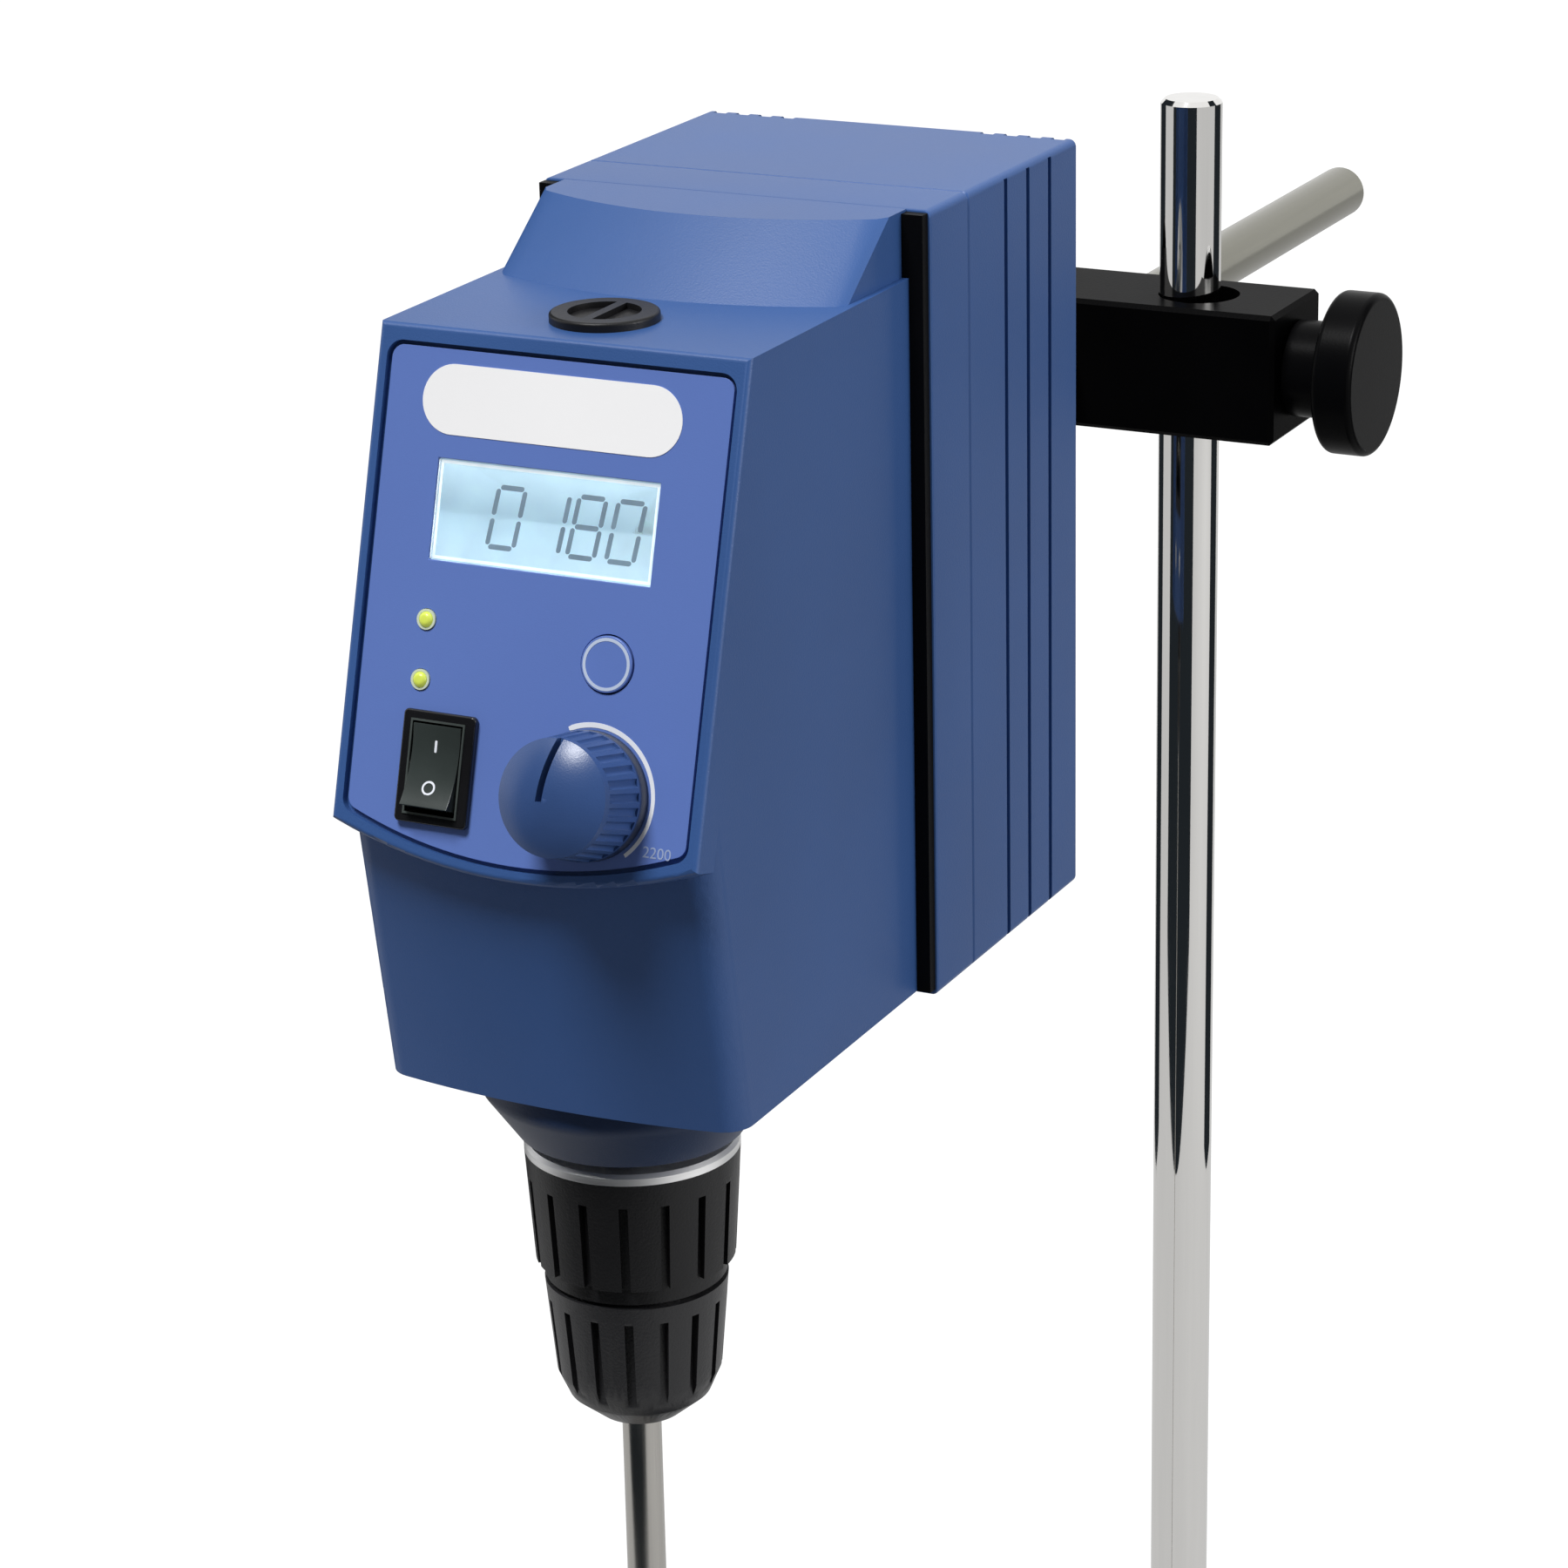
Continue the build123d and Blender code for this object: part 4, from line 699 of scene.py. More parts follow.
def add_bump(tree, surface, height, strength, distance):
    """Let a height that varies by up to that distance show in the surface's shading."""
    bump = tree.nodes.new("ShaderNodeBump")
    bump.inputs["Strength"].default_value = strength
    bump.inputs["Distance"].default_value = distance
    tree.links.new(height, bump.inputs["Height"])
    tree.links.new(bump.outputs["Normal"], surface.inputs["Normal"])


def moulded(name, color, roughness, grain, depth, tone_spread, cloud=22.0, shine=0.35):
    """Moulded plastic or paint: fine grain, slow cloud of tone and gloss."""
    material, tree, surface, place = start_material(name)
    surface.inputs["Specular IOR Level"].default_value = shine
    grains = place_group(tree, "surface_grain")
    grains.inputs["Grain"].default_value = grain
    grains.inputs["Cloud"].default_value = cloud
    grains.inputs["Base Roughness"].default_value = roughness
    tree.links.new(place, grains.inputs["Place"])
    tone = toned(tree, grains.outputs["Cloud"], color, tone_spread, tone_spread)
    tree.links.new(tone, surface.inputs["Base Color"])
    tree.links.new(grains.outputs["Roughness"], surface.inputs["Roughness"])
    add_bump(tree, surface, grains.outputs["Height"], depth, 0.0001)
    return material


def knob_material(name, color):
    """Moulded blue with painted shade: darker on the skirt, next to the panel, where shadow falls.
    """
    material = moulded(name, color, 0.30, 3000.0, 0.18, 0.08, 60.0, 0.5)
    tree = material.node_tree
    surface = tree.nodes["Principled BSDF"]
    tinted = surface.inputs["Base Color"].links[0].from_socket
    along = tree.nodes.new("ShaderNodeVectorMath")
    along.operation = "DOT_PRODUCT"
    along.inputs[1].default_value = PANEL_OUT
    tree.links.new(tree.nodes["Texture Coordinate"].outputs["Object"], along.inputs[0])
    face = PANEL_TOP.dot(PANEL_OUT)
    # Painted shade: the colour falls to 0.15 of itself over the skirt, the lowest part of the knob
    # by the panel.
    share = spread(tree, along.outputs["Value"], face + 2.2 * MM, face + 3.0 * MM, 0.05, 1.0)
    tree.links.new(color_mix(tree, share, shade(color, 0.15), tinted), surface.inputs["Base Color"])
    return material


def metal(name, color, roughness, stretch, lines, depth, tone_spread):
    """Bare metal with machining marks along one direction."""
    material, tree, surface, place = start_material(name)
    marks = place_group(tree, "machined_marks")
    marks.inputs["Stretch"].default_value = stretch
    marks.inputs["Lines"].default_value = lines
    marks.inputs["Base Roughness"].default_value = roughness
    tree.links.new(place, marks.inputs["Place"])
    tone = toned(tree, marks.outputs["Tone"], color, tone_spread, tone_spread)
    tree.links.new(tone, surface.inputs["Base Color"])
    tree.links.new(marks.outputs["Roughness"], surface.inputs["Roughness"])
    surface.inputs["Metallic"].default_value = 1.0
    add_bump(tree, surface, marks.outputs["Height"], depth, 0.00005)
    return material


def board_material(name):
    """Green circuit board with copper runs under the lacquer."""
    material, tree, surface, place = start_material(name)
    runs = tree.nodes.new("ShaderNodeTexBrick")
    runs.inputs["Scale"].default_value = 160.0
    runs.inputs["Color1"].default_value = (0.01, 0.10, 0.035, 1)
    runs.inputs["Color2"].default_value = (0.012, 0.14, 0.05, 1)
    runs.inputs["Mortar"].default_value = (0.03, 0.26, 0.09, 1)
    runs.inputs["Mortar Size"].default_value = 0.03
    tree.links.new(place, runs.inputs["Vector"])
    tree.links.new(runs.outputs["Color"], surface.inputs["Base Color"])
    gloss = spread(tree, noise(tree, place, 300.0), 0.3, 0.7, 0.25, 0.4)
    tree.links.new(gloss, surface.inputs["Roughness"])
    return material


def lit_material(name, color, glow, roughness):
    """A lens or cell lit from behind, brighter in its slow cloud."""
    material, tree, surface, place = start_material(name)
    cloud = noise(tree, place, 140.0, 3.0)
    tone = toned(tree, cloud, color, 0.10, 0.08)
    tree.links.new(tone, surface.inputs["Base Color"])
    tree.links.new(tone, surface.inputs["Emission Color"])
    surface.inputs["Emission Strength"].default_value = glow
    gloss = spread(tree, cloud, 0.3, 0.7, roughness - 0.05, roughness + 0.05)
    tree.links.new(gloss, surface.inputs["Roughness"])
    return material


def window_material(name):
    """Clear window with faint wiping marks in its gloss."""
    material, tree, surface, place = start_material(name)
    surface.inputs["Base Color"].default_value = (0.93, 0.97, 1.0, 1)
    surface.inputs["Transmission Weight"].default_value = 1.0
    surface.inputs["IOR"].default_value = 1.3
    gloss = spread(tree, noise(tree, place, 60.0, 5.0), 0.3, 0.7, 0.02, 0.08)
    tree.links.new(gloss, surface.inputs["Roughness"])
    return material


def finishes():
    """Each finish: its maker, then the values that the maker takes after the name."""
    colors = finish_of()
    casing, panel, black, sleeve = colors.casing, colors.panel, colors.black, colors.sleeve
    return {
        # colour, roughness, grain, depth of the grain, spread of tone, cloud, shine
        "casing_blue": (moulded, casing, colors.casing_roughness, 2600.0, 0.30, 0.06, 22.0, 0.45),
        # The collar: the casing's blue darkened to 0.30 of itself, painted shade under the housing.
        "collar_navy": (moulded, shade(casing, 0.30), 0.45, 2600.0, 0.30, 0.08),
        "panel_film": (moulded, panel, 0.36, 3600.0, 0.12, 0.04, 12.0),
        "mode_key": (moulded, panel, 0.34, 3600.0, 0.12, 0.04, 60.0),
        "black_gloss": (moulded, black, 0.18, 1200.0, 0.06, 0.2, 60.0, 0.5),
        # The rocker: black plastic lifted to a dark grey, partly a painted reflection on its face.
        "rocker_black": (moulded, (0.034, 0.043, 0.041), 0.26, 1200.0, 0.06, 0.2, 60.0, 0.5),
        # The rocker's lip: a real raised lip whose lighter grey is a painted highlight on the
        # frame's inner edge.
        "rocker_lip": (moulded, (0.060, 0.072, 0.068), 0.30, 1200.0, 0.06, 0.2, 60.0, 0.5),
        "black_moulding": (moulded, black, 0.42, 2400.0, 0.30, 0.2, 40.0, 0.25),
        "clamp_black": (moulded, shade(black, 0.2), 0.34, 1500.0, 0.15, 0.25, 45.0, 0.01),
        "spacer_black": (moulded, shade(black, 0.4), 0.45, 2400.0, 0.30, 0.2, 40.0, 0.05),
        "clamp_knob_black": (moulded, shade(black, 0.3), 0.30, 1800.0, 0.10, 0.2, 40.0, 0.03),
        "sleeve_charcoal": (moulded, sleeve, 0.40, 1800.0, 0.45, 0.15, 50.0, 0.3),
        # The front sleeve: the sleeves' one charcoal made 2.1 times lighter, painted light.
        "sleeve_grey": (moulded, shade(sleeve, 2.1), 0.36, 1800.0, 0.45, 0.15, 50.0, 0.45),
        "plate_enamel": (moulded, (0.045, 0.048, 0.052), 0.38, 420.0, 0.65, 0.2, 30.0),
        "motor_enamel": (moulded, (0.03, 0.03, 0.033), 0.35, 700.0, 0.4, 0.2, 40.0),
        "label_white": (moulded, (0.97, 0.97, 0.98), 0.30, 3000.0, 0.05, 0.02, 15.0),
        "ink_white": (moulded, (0.80, 0.83, 0.90), 0.35, 3000.0, 0.05, 0.04, 90.0),
        "ink_soft": (moulded, (0.52, 0.60, 0.76), 0.35, 3000.0, 0.05, 0.05, 90.0),
        "ink_pale": (moulded, (0.34, 0.42, 0.62), 0.35, 3000.0, 0.05, 0.05, 90.0),
        "digit_grey": (moulded, (0.17, 0.24, 0.30), 0.40, 3000.0, 0.05, 0.08, 200.0),
        "lamp_collar": (moulded, (0.62, 0.70, 0.55), 0.30, 3000.0, 0.05, 0.05, 200.0),
        # colour, roughness, stretch of the marks, lines, depth of the marks, spread of tone
        "rod_chrome": (metal, (0.80, 0.79, 0.77), 0.05, (1, 1, 0.03), 260.0, 0.03, 0.04),
        "arm_steel": (metal, (0.24, 0.235, 0.195), 0.24, (1, 0.01, 1), 700.0, 0.12, 0.08),
        "shaft_steel": (metal, (0.50, 0.485, 0.455), 0.18, (1, 1, 0.015), 1100.0, 0.12, 0.10),
        "turned_steel": (metal, (0.56, 0.56, 0.57), 0.24, (0.04, 0.04, 1), 1500.0, 0.25, 0.12),
        "bright_ring": (metal, (0.85, 0.85, 0.85), 0.45, (0.04, 0.04, 1), 900.0, 0.12, 0.08),
        "ground_steel": (metal, (0.50, 0.50, 0.51), 0.28, (1, 1, 0.05), 1200.0, 0.2, 0.12),
        "milled_aluminium": (metal, (0.72, 0.73, 0.75), 0.34, (0.05, 1, 0.3), 700.0, 0.25, 0.08),
        "gear_brass": (metal, (0.72, 0.50, 0.20), 0.30, (0.3, 0.3, 0.6), 900.0, 0.2, 0.10),
        "propeller_steel": (metal, (0.38, 0.375, 0.365), 0.34, (0.6, 0.6, 0.1), 700.0, 0.06, 0.10),
        "pin_nickel": (metal, (0.70, 0.68, 0.62), 0.22, (1, 0.1, 1), 900.0, 0.15, 0.08),
        "screw_steel": (metal, (0.42, 0.42, 0.43), 0.30, (1, 1, 1), 600.0, 0.2, 0.15),
        # colour, glow, roughness
        "status_lamp": (lit_material, colors.lamp, 0.22, 0.25),
        "display_cell": (lit_material, colors.display, 0.18, 0.5),
        # The display's border: a glowing pale line, a painted highlight on the window's edge.
        "display_edge": (lit_material, (0.85, 0.95, 1.0), 0.25, 0.5),
        # The knob's blue, with painted shade on its skirt.
        "knob_blue": (knob_material, colors.knob),
        "circuit_board": (board_material,),
        "display_glass": (window_material,),
    }


MATERIALS = {}


def material_for(name):
    """The finish of that name, built on first use."""
    if name not in MATERIALS:
        maker, *values = finishes()[name]
        MATERIALS[name] = maker(name, *values)
    return MATERIALS[name]


NODE_FINISH = {
    "collar_navy": ["chuck_collar"],
    "black_moulding": ["power_inlet", "mode_switch", "top_cap"],
    "spacer_black": ["spacer_frame"],
    "ground_steel": [
        "rod_nut", "rod_clamp_screw", "arm_clamp_screw", "plate_posts", "spindle_bearings",
        "idler_pin", "motor_shaft", "motor_pinion", "potentiometer",
    ],
    "turned_steel": ["chuck_body", "chuck_nut", "spindle", "jaw_1", "jaw_2", "jaw_3"],
    "milled_aluminium": [
        "arm_flange", "arm_block", "knob_shaft", "gear_plate_lower", "gear_plate_upper",
    ],
    "gear_brass": ["spindle_gear", "idler_gear"],
    "circuit_board": ["display_board", "driver_board"],
    "rod_chrome": ["stand_rod"],
    "arm_steel": ["mounting_arm"],
    "shaft_steel": ["stirring_shaft"],
    "bright_ring": ["chuck_ring"],
    "propeller_steel": ["propeller"],
    "motor_enamel": ["motor_body"],
    "display_cell": ["display_module"],
    "display_glass": ["display_window"],
    "knob_blue": ["speed_knob"],
    "mode_key": ["mode_button"],
}


# ------------------------------------------------------------------ dressing

def dress(piece, finish, body=None):
    """Give a piece its finish and, when a body is given, its body."""
    piece.data.materials.clear()
    piece.data.materials.append(material_for(finish))
    if body:
        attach(piece, body)
    return piece


def dress_copy(node, name, width, body, finish, segments=2):
    """Stand a rounded copy in its finish for a solid."""
    return dress(rounded_node(node, name, width, body, segments), finish)


def set_on(piece, matrix, finish, body):
    """Move a piece that was modelled at the origin to its place and dress it."""
    return dress(put(piece, matrix), finish, body)


# ------------------------------------------------------------------ operators

class STIRRER_OT_node_finishes(bpy.types.Operator):
    """Give every solid that stays in view its finish"""

    bl_idname = "stirrer.node_finishes"
    bl_label = "Finish the solids"

    def execute(self, context):
        for finish, nodes in NODE_FINISH.items():
            for node in nodes:
                dress(frame["nodes"][node], finish)
        return {"FINISHED"}


class STIRRER_OT_casing(bpy.types.Operator):
    """Round and finish the head's casing"""

    bl_idname = "stirrer.casing"
    bl_label = "Casing"

    def execute(self, context):
        width = finish_of().edge_round
        for node in ("front_housing", "middle_housing", "rear_cover"):
            dress_copy(node, node + "_shell", width, "head", "casing_blue")
        return {"FINISHED"}


class STIRRER_OT_clamp(bpy.types.Operator):
    """Round and finish the boss-head clamp and its knobs"""

    bl_idname = "stirrer.clamp"
    bl_label = "Clamp"

    def execute(self, context):
        dress_copy("boss_head", "boss_head_block", BLOCK_ROUND, "clamp", "clamp_black")
        for node, body in (("rod_clamp_knob", "rod_clamp"), ("arm_clamp_knob", "arm_clamp")):
            dress_copy(node, node + "_disc", CLAMP_KNOB_ROUND, body, "clamp_knob_black")
        dress_copy("base_plate", "base_plate_cast", PLATE_ROUND, "stand", "plate_enamel", 3)
        return {"FINISHED"}


class STIRRER_OT_chuck(bpy.types.Operator):
    """Round and finish the chuck's fluted sleeves"""

    bl_idname = "stirrer.chuck"
    bl_label = "Chuck"

    def execute(self, context):
        for node, body, finish in (
            ("rear_sleeve", "drive_spindle", "sleeve_charcoal"),
            # The front sleeve's lighter charcoal is painted light.
            ("front_sleeve", "chuck_sleeve", "sleeve_grey"),
        ):
            dress_copy(node, node + "_grip", SLEEVE_ROUND, body, finish)
        return {"FINISHED"}


class STIRRER_OT_panel(bpy.types.Operator):
    """Finish the panel's film and print its label, ring, scale and figures"""

    bl_idname = "stirrer.panel"
    bl_label = "Panel and print"

    def execute(self, context):
        sizes = print_of()
        film = sizes.film
        dress_copy("control_panel", "panel_film", PANEL_ROUND, "head", "panel_film")

        width, height = sizes.label_width, sizes.label_height
        label = rounded_bar("blank_label", width, height, film * 2, height / 2, 12)
        set_on(label, panel_matrix(*LABEL_SPOT), "label_white", "head")

        start_width, end_width = SCALE_WIDTHS
        scale = ring_strip(
            "speed_scale", sizes.scale_radius, start_width, film, 48,
            SCALE_START, SCALE_SWEEP, end_width,
        )
        set_on(scale, panel_matrix(*KNOB_SPOT), "ink_white", "head")

        top_figure = lettering("speed_figure", "2200", TOP_FIGURE_HEIGHT, film)
        set_on(top_figure, panel_matrix(*TOP_FIGURE_SPOT), "ink_pale", "head")

        ring = ring_strip("mode_ring", BUTTON_RING_RADIUS, sizes.ring_width, film, 48)
        place = panel_matrix(*BUTTON_SPOT, BUTTON_FACE)
        set_on(ring, place, "ink_soft", "mode_key")
        return {"FINISHED"}


class STIRRER_OT_display(bpy.types.Operator):
    """Set the display's slanted seven-bar digits on its cell"""

    bl_idname = "stirrer.display"
    bl_label = "Display digits"

    def execute(self, context):
        height = print_of().digit_height
        width = height * DIGIT_WIDTH_SHARE
        bar = height * BAR_SHARE
        gap = bar * 0.35
        spots = {
            "a": (0, height / 2, True), "g": (0, 0, True), "d": (0, -height / 2, True),
            "f": (-width / 2, height / 4, False), "b": (width / 2, height / 4, False),
            "e": (-width / 2, -height / 4, False), "c": (width / 2, -height / 4, False),
        }
        bars = []
        for at, digit in DIGITS:
            for letter in SEGMENTS[digit]:
                x, y, level = spots[letter]
                length = (width if level else height / 2) - bar - 2 * gap
                piece = rounded_bar("segment", length + bar, bar, BAR_DEPTH, bar * 0.45, 2)
                if not level:
                    put(piece, Matrix.Rotation(math.pi / 2, 4, "Z"))
                put(piece, Matrix.Translation((x, y, 0)))
                put(piece, DIGIT_SLANT)
                put(piece, panel_matrix(DISPLAY_SPOT[0] + at, DIGIT_ROW, CELL_FACE))
                bars.append(piece)
        dress(join(bars, "display_digits"), "digit_grey", "head")
        # The border is a glowing pale line, a painted highlight on the window's edge.
        border = frame_strip("display_border_painted_highlight", *DISPLAY_BORDER)
        place = panel_matrix(*DISPLAY_SPOT, CELL_FACE)
        set_on(border, place, "display_edge", "head")
        return {"FINISHED"}


class STIRRER_OT_switches(bpy.types.Operator):
    """Finish the rocker's frame and print its I and O marks"""

    bl_idname = "stirrer.switches"
    bl_label = "Rocker"

    def execute(self, context):
        dress_copy("rocker_frame", "rocker_bezel", PANEL_ROUND, "head", "black_gloss")
        # The lip is real; its grey, lighter than the frame's black, is a painted highlight.
        lip = frame_strip("rocker_lip", *ROCKER_LIP)
        place = panel_matrix(*ROCKER_SPOT, ROCKER_FRAME_FACE)
        set_on(lip, place, "rocker_lip", "head")

        # The rocker's dark grey is partly a painted reflection on its black face.
        dress_copy("rocker", "rocker_key", PANEL_ROUND, "power_rocker", "rocker_black")
        film = print_of().film
        on_mark = rounded_bar("rocker_on", *ON_MARK, film, 0.0002, 3)
        off_mark = ring_strip("rocker_off", *OFF_MARK, film, 32)
        x, y = ROCKER_SPOT
        for mark, up in ((on_mark, ON_MARK_UP), (off_mark, OFF_MARK_UP)):
            place = surface_spot("rocker", x, y + up)
            set_on(mark, place, "ink_white", "power_rocker")
        return {"FINISHED"}


class STIRRER_OT_lamps(bpy.types.Operator):
    """Model the two status lamps: domed lenses in pale collars"""

    bl_idname = "stirrer.lamps"
    bl_label = "Status lamps"

    def execute(self, context):
        lens = turned_peg("lamp_lens_upper", *LENS, 6)
        lenses = (lens, copy_of(lens, "lamp_lens_lower"))
        for piece, (name, row) in zip(lenses, LAMP_ROWS):
            place = panel_matrix(LAMP_COLUMN, row, LAMP_FACE)
            set_on(piece, place, "status_lamp", "head")
            ring = ring_strip("lamp_ring_" + name, *LENS_COLLAR, 40)
            set_on(ring, place, "lamp_collar", "head")
        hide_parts("status_lights")
        return {"FINISHED"}


class STIRRER_OT_back(bpy.types.Operator):
    """Model the cover's screws with their cross recesses and the inlet's contact pins"""

    bl_idname = "stirrer.back"
    bl_label = "Back: screws and inlet"

    def execute(self, context):
        screw = turned_peg("cover_screw_1", SCREW_RADIUS, SCREW_HEIGHT, SCREW_ROUND, 5)
        for turn in (0.0, math.pi / 2):
            deselect()
            bpy.ops.mesh.primitive_cube_add(size=1, location=(0, 0, SCREW_HEIGHT))
            blade = bpy.context.object
            blade.scale = RECESS_BLADE
            blade.rotation_euler.z = turn
            settle(blade, "recess_cutter")
            pick(screw)
            apply_modifier(screw, "recess", "BOOLEAN", operation="DIFFERENCE", object=blade)
            bpy.data.objects.remove(blade)
        low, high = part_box("cover_screws")
        across, up = [(low[axis] + SCREW_RADIUS, high[axis] - SCREW_RADIUS) for axis in (0, 2)]
        spots = [(x, z) for x in across for z in up]
        screws = [screw] + [copy_of(screw, f"cover_screw_{number}") for number in (2, 3, 4)]
        lie_back = Matrix.Rotation(-math.pi / 2, 4, "X")
        for piece, (x, z) in zip(screws, spots):
            place = Matrix.Translation((x, high[1] - SCREW_HEIGHT, z)) @ lie_back
            set_on(piece, place, "screw_steel", "head")
        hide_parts("cover_screws")
        self.contact_pins()
        return {"FINISHED"}

    def contact_pins(self):
        """Nickel sheaths on the inlet's three blades, tapered at the tip."""
        low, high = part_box("power_inlet")
        deselect()
        bpy.ops.mesh.primitive_cube_add(size=1, location=(0, 0, 0))
        first = bpy.context.object
        first.scale = PIN_SIZE
        settle(first, "inlet_pin_1")
        bpy.ops.object.mode_set(mode="EDIT")
        select_faces(first, lambda centre, normal: normal.y > 0.9)
        bpy.ops.mesh.bevel(offset=PIN_TAPER, segments=2, affect="EDGES")
        bpy.ops.object.mode_set(mode="OBJECT")
        pins = [first, copy_of(first, "inlet_pin_2"), copy_of(first, "inlet_pin_3")]
        middle_x, middle_z = (low[0] + high[0]) / 2, (low[2] + high[2]) / 2
        for piece, (x, z) in zip(pins, PIN_SPOTS):
            spot = Vector((middle_x + x * MM, high[1] - PIN_DEPTH, middle_z + z * MM))
            set_on(piece, Matrix.Translation(spot), "pin_nickel", "head")


class STIRRER_OT_stage(bpy.types.Operator):
    """Set up the floor, the lamps and the camera"""

    bl_idname = "stirrer.stage"
    bl_label = "Stage"

    def execute(self, context):
        settings = context.scene.stirrer_stage
        build_floor(settings)
        build_world(settings)
        build_lamps(settings)
        build_flags()
        build_camera(settings)
        return {"FINISHED"}


# ------------------------------------------------------------------ stage

def seen_share(tree, mirrored):
    """1 for what is seen straight or through glass, the given share of it in mirrors, else 0."""
    path = tree.nodes.new("ShaderNodeLightPath")
    share = arithmetic(tree, "MULTIPLY", path.outputs["Is Glossy Ray"], mirrored)
    share = arithmetic(tree, "MAXIMUM", path.outputs["Is Camera Ray"], share)
    return arithmetic(tree, "MAXIMUM", share, path.outputs["Is Transmission Ray"])


def build_floor(settings):
    """A wide pale floor, which looks white in view and throws little light back up."""
    deselect()
    bpy.ops.mesh.primitive_plane_add(size=FLOOR_SIZE, location=(0, 0, FLOOR_LEVEL))
    floor = settle(bpy.context.object, "floor")
    material, tree, surface, _ = start_material("floor_white")
    surface.inputs["Roughness"].default_value = 0.9
    surface.inputs["Specular IOR Level"].default_value = 0.0
    surface.inputs["Base Color"].default_value = (0.22, 0.22, 0.22, 1)
    white = tree.nodes.new("ShaderNodeEmission")
    white.inputs["Color"].default_value = WHITE
    seen = seen_share(tree, settings.floor_mirrored)
    glow = arithmetic(tree, "MULTIPLY", seen, settings.floor_glow)
    tree.links.new(glow, white.inputs["Strength"])
    both = tree.nodes.new("ShaderNodeAddShader")
    tree.links.new(surface.outputs[0], both.inputs[0])
    tree.links.new(white.outputs[0], both.inputs[1])
    tree.links.new(both.outputs[0], tree.nodes["Material Output"].inputs["Surface"])
    floor.data.materials.append(material)


def build_world(settings):
    """White to the eye, in mirrors and through glass, and only a dim even light on the object."""
    world = bpy.data.worlds.new("studio")
    bpy.context.scene.world = world
    world.use_nodes = True
    tree = world.node_tree
    room = tree.nodes["Background"]
    white = tree.nodes.new("ShaderNodeBackground")
    for light, strength in ((room, settings.world_strength), (white, 1.0)):
        light.inputs["Color"].default_value = WHITE
        light.inputs["Strength"].default_value = strength
    mix = tree.nodes.new("ShaderNodeMixShader")
    tree.links.new(seen_share(tree, 1.0), mix.inputs["Fac"])
    tree.links.new(room.outputs[0], mix.inputs[1])
    tree.links.new(white.outputs[0], mix.inputs[2])
    tree.links.new(mix.outputs[0], tree.nodes["World Output"].inputs["Surface"])


def aimed_lamp(kind, name, place):
    """A lamp turned to the middle of the object."""
    deselect()
    bpy.ops.object.light_add(type=kind, location=place)
    lamp = bpy.context.object
    lamp.name = name
    lamp.rotation_euler = (LIGHT_AIM - place).to_track_quat("-Z", "Y").to_euler()
    return lamp.data


def build_lamps(settings):
    """A soft sun from high in front, even over object and floor alike, and a lamp on the right."""
    key = aimed_lamp("SUN", "key_light", KEY_PLACE)
    key.angle = KEY_WIDTH
    key.energy = settings.key_strength
    side = aimed_lamp("AREA", "side_lamp", SIDE_PLACE)
    side.shape = "SQUARE"
    side.size = SIDE_SIZE
    side.energy = settings.side_power


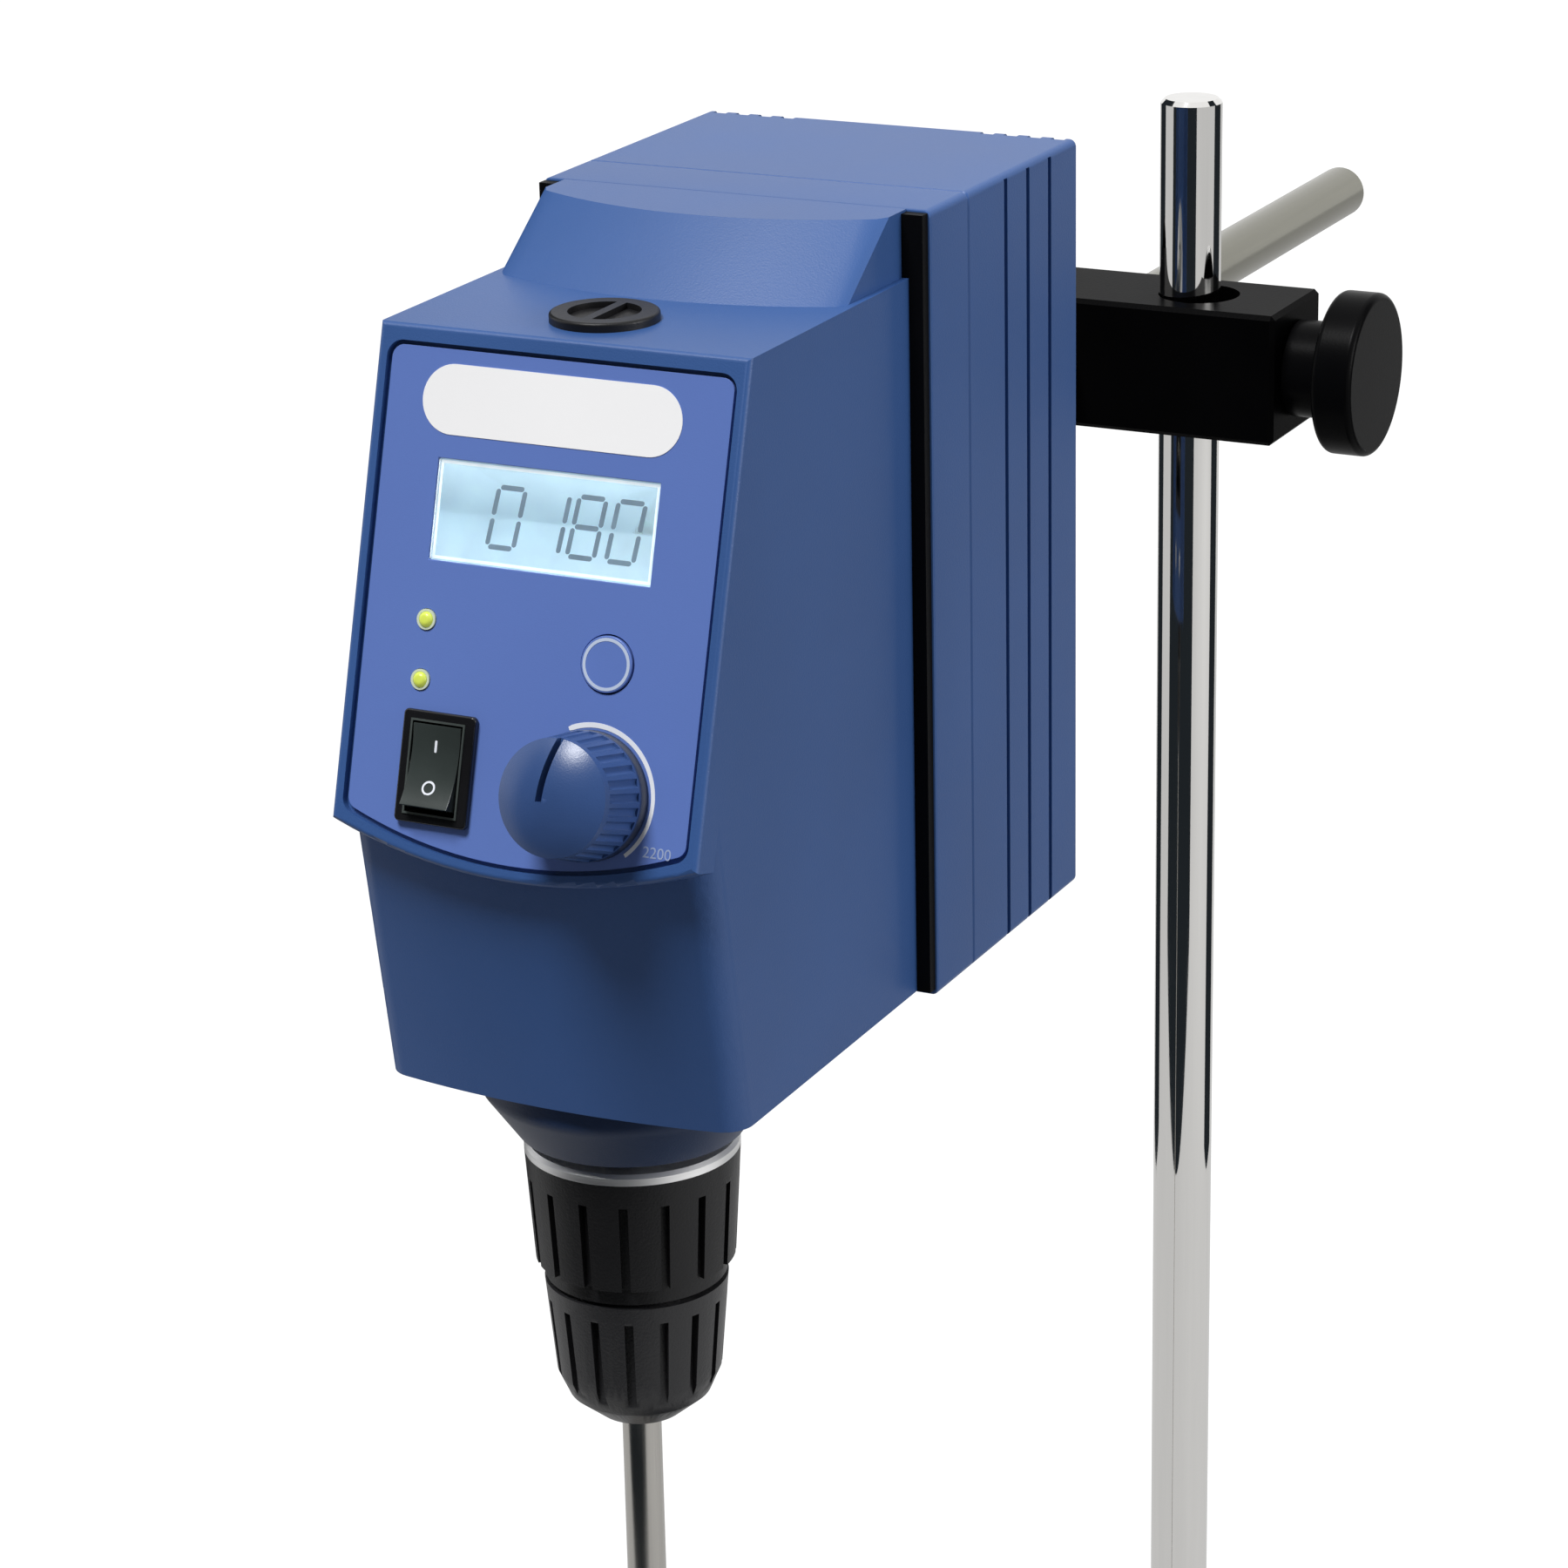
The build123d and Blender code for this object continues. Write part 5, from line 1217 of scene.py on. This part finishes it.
def build_flags():
    """Tall black flags round the rod that only reflections show, by bearing from the camera's."""
    material, _, surface, _ = start_material("flag_black")
    surface.inputs["Roughness"].default_value = 1.0
    surface.inputs["Base Color"].default_value = (0.004, 0.004, 0.004, 1)
    surface.inputs["Emission Color"].default_value = (0.014, 0.018, 0.022, 1)
    surface.inputs["Emission Strength"].default_value = 1.0
    surface.inputs["Specular IOR Level"].default_value = 0.0
    for number, (bearing, width) in enumerate(FLAGS):
        toward = CAMERA_BEARING + math.radians(bearing)
        place = (math.cos(toward) * FLAG_REACH, math.sin(toward) * FLAG_REACH, FLAG_MIDDLE)
        turn = (math.pi / 2, 0, toward - math.pi / 2)
        deselect()
        bpy.ops.mesh.primitive_plane_add(size=1, location=place, rotation=turn)
        flag = bpy.context.object
        flag.scale = (width, FLAG_HEIGHT, 1)
        settle(flag, f"flag_{number}")
        flag.data.materials.append(material)
        for kind in ("camera", "diffuse", "shadow", "transmission"):
            setattr(flag, "visible_" + kind, False)


def build_camera(settings):
    """The camera and the plain view transform."""
    deselect()
    bpy.ops.object.camera_add(location=CAMERA_PLACE, rotation=CAMERA_TURN)
    camera = bpy.context.object
    camera.data.sensor_width = 36.0
    camera.data.lens = settings.lens
    camera.data.clip_start = 0.02
    camera.data.clip_end = 30.0
    bpy.context.scene.camera = camera
    bpy.context.scene.view_settings.view_transform = "Standard"


# ------------------------------------------------------------------ add-on

class STIRRER_PT_panel(bpy.types.Panel):
    """Lists the stirrer's steps and settings"""

    bl_idname = "STIRRER_PT_panel"
    bl_label = "Overhead Stirrer"
    bl_space_type = "VIEW_3D"
    bl_region_type = "UI"
    bl_category = "Stirrer"

    def draw(self, context):
        layout = self.layout
        for operator in STEPS:
            layout.operator(operator.bl_idname)
        scene = context.scene
        for group in (scene.stirrer_finish, scene.stirrer_print, scene.stirrer_stage):
            box = layout.box()
            for name in group.__annotations__:
                box.prop(group, name)


STEPS = (
    STIRRER_OT_node_finishes,
    STIRRER_OT_casing,
    STIRRER_OT_clamp,
    STIRRER_OT_chuck,
    STIRRER_OT_panel,
    STIRRER_OT_display,
    STIRRER_OT_switches,
    STIRRER_OT_lamps,
    STIRRER_OT_back,
    STIRRER_OT_stage,
)
CLASSES = (StirrerFinish, StirrerPrint, StirrerStage, *STEPS, STIRRER_PT_panel)


def register():
    for cls in CLASSES:
        bpy.utils.register_class(cls)
    bpy.types.Scene.stirrer_finish = PointerProperty(type=StirrerFinish)
    bpy.types.Scene.stirrer_print = PointerProperty(type=StirrerPrint)
    bpy.types.Scene.stirrer_stage = PointerProperty(type=StirrerStage)


def unregister():
    del bpy.types.Scene.stirrer_stage
    del bpy.types.Scene.stirrer_print
    del bpy.types.Scene.stirrer_finish
    for cls in reversed(CLASSES):
        bpy.utils.unregister_class(cls)


def main():
    """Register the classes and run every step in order."""
    register()
    for operator in STEPS:
        group, name = operator.bl_idname.split(".")
        getattr(getattr(bpy.ops, group), name)()


if __name__ == "__main__":
    main()
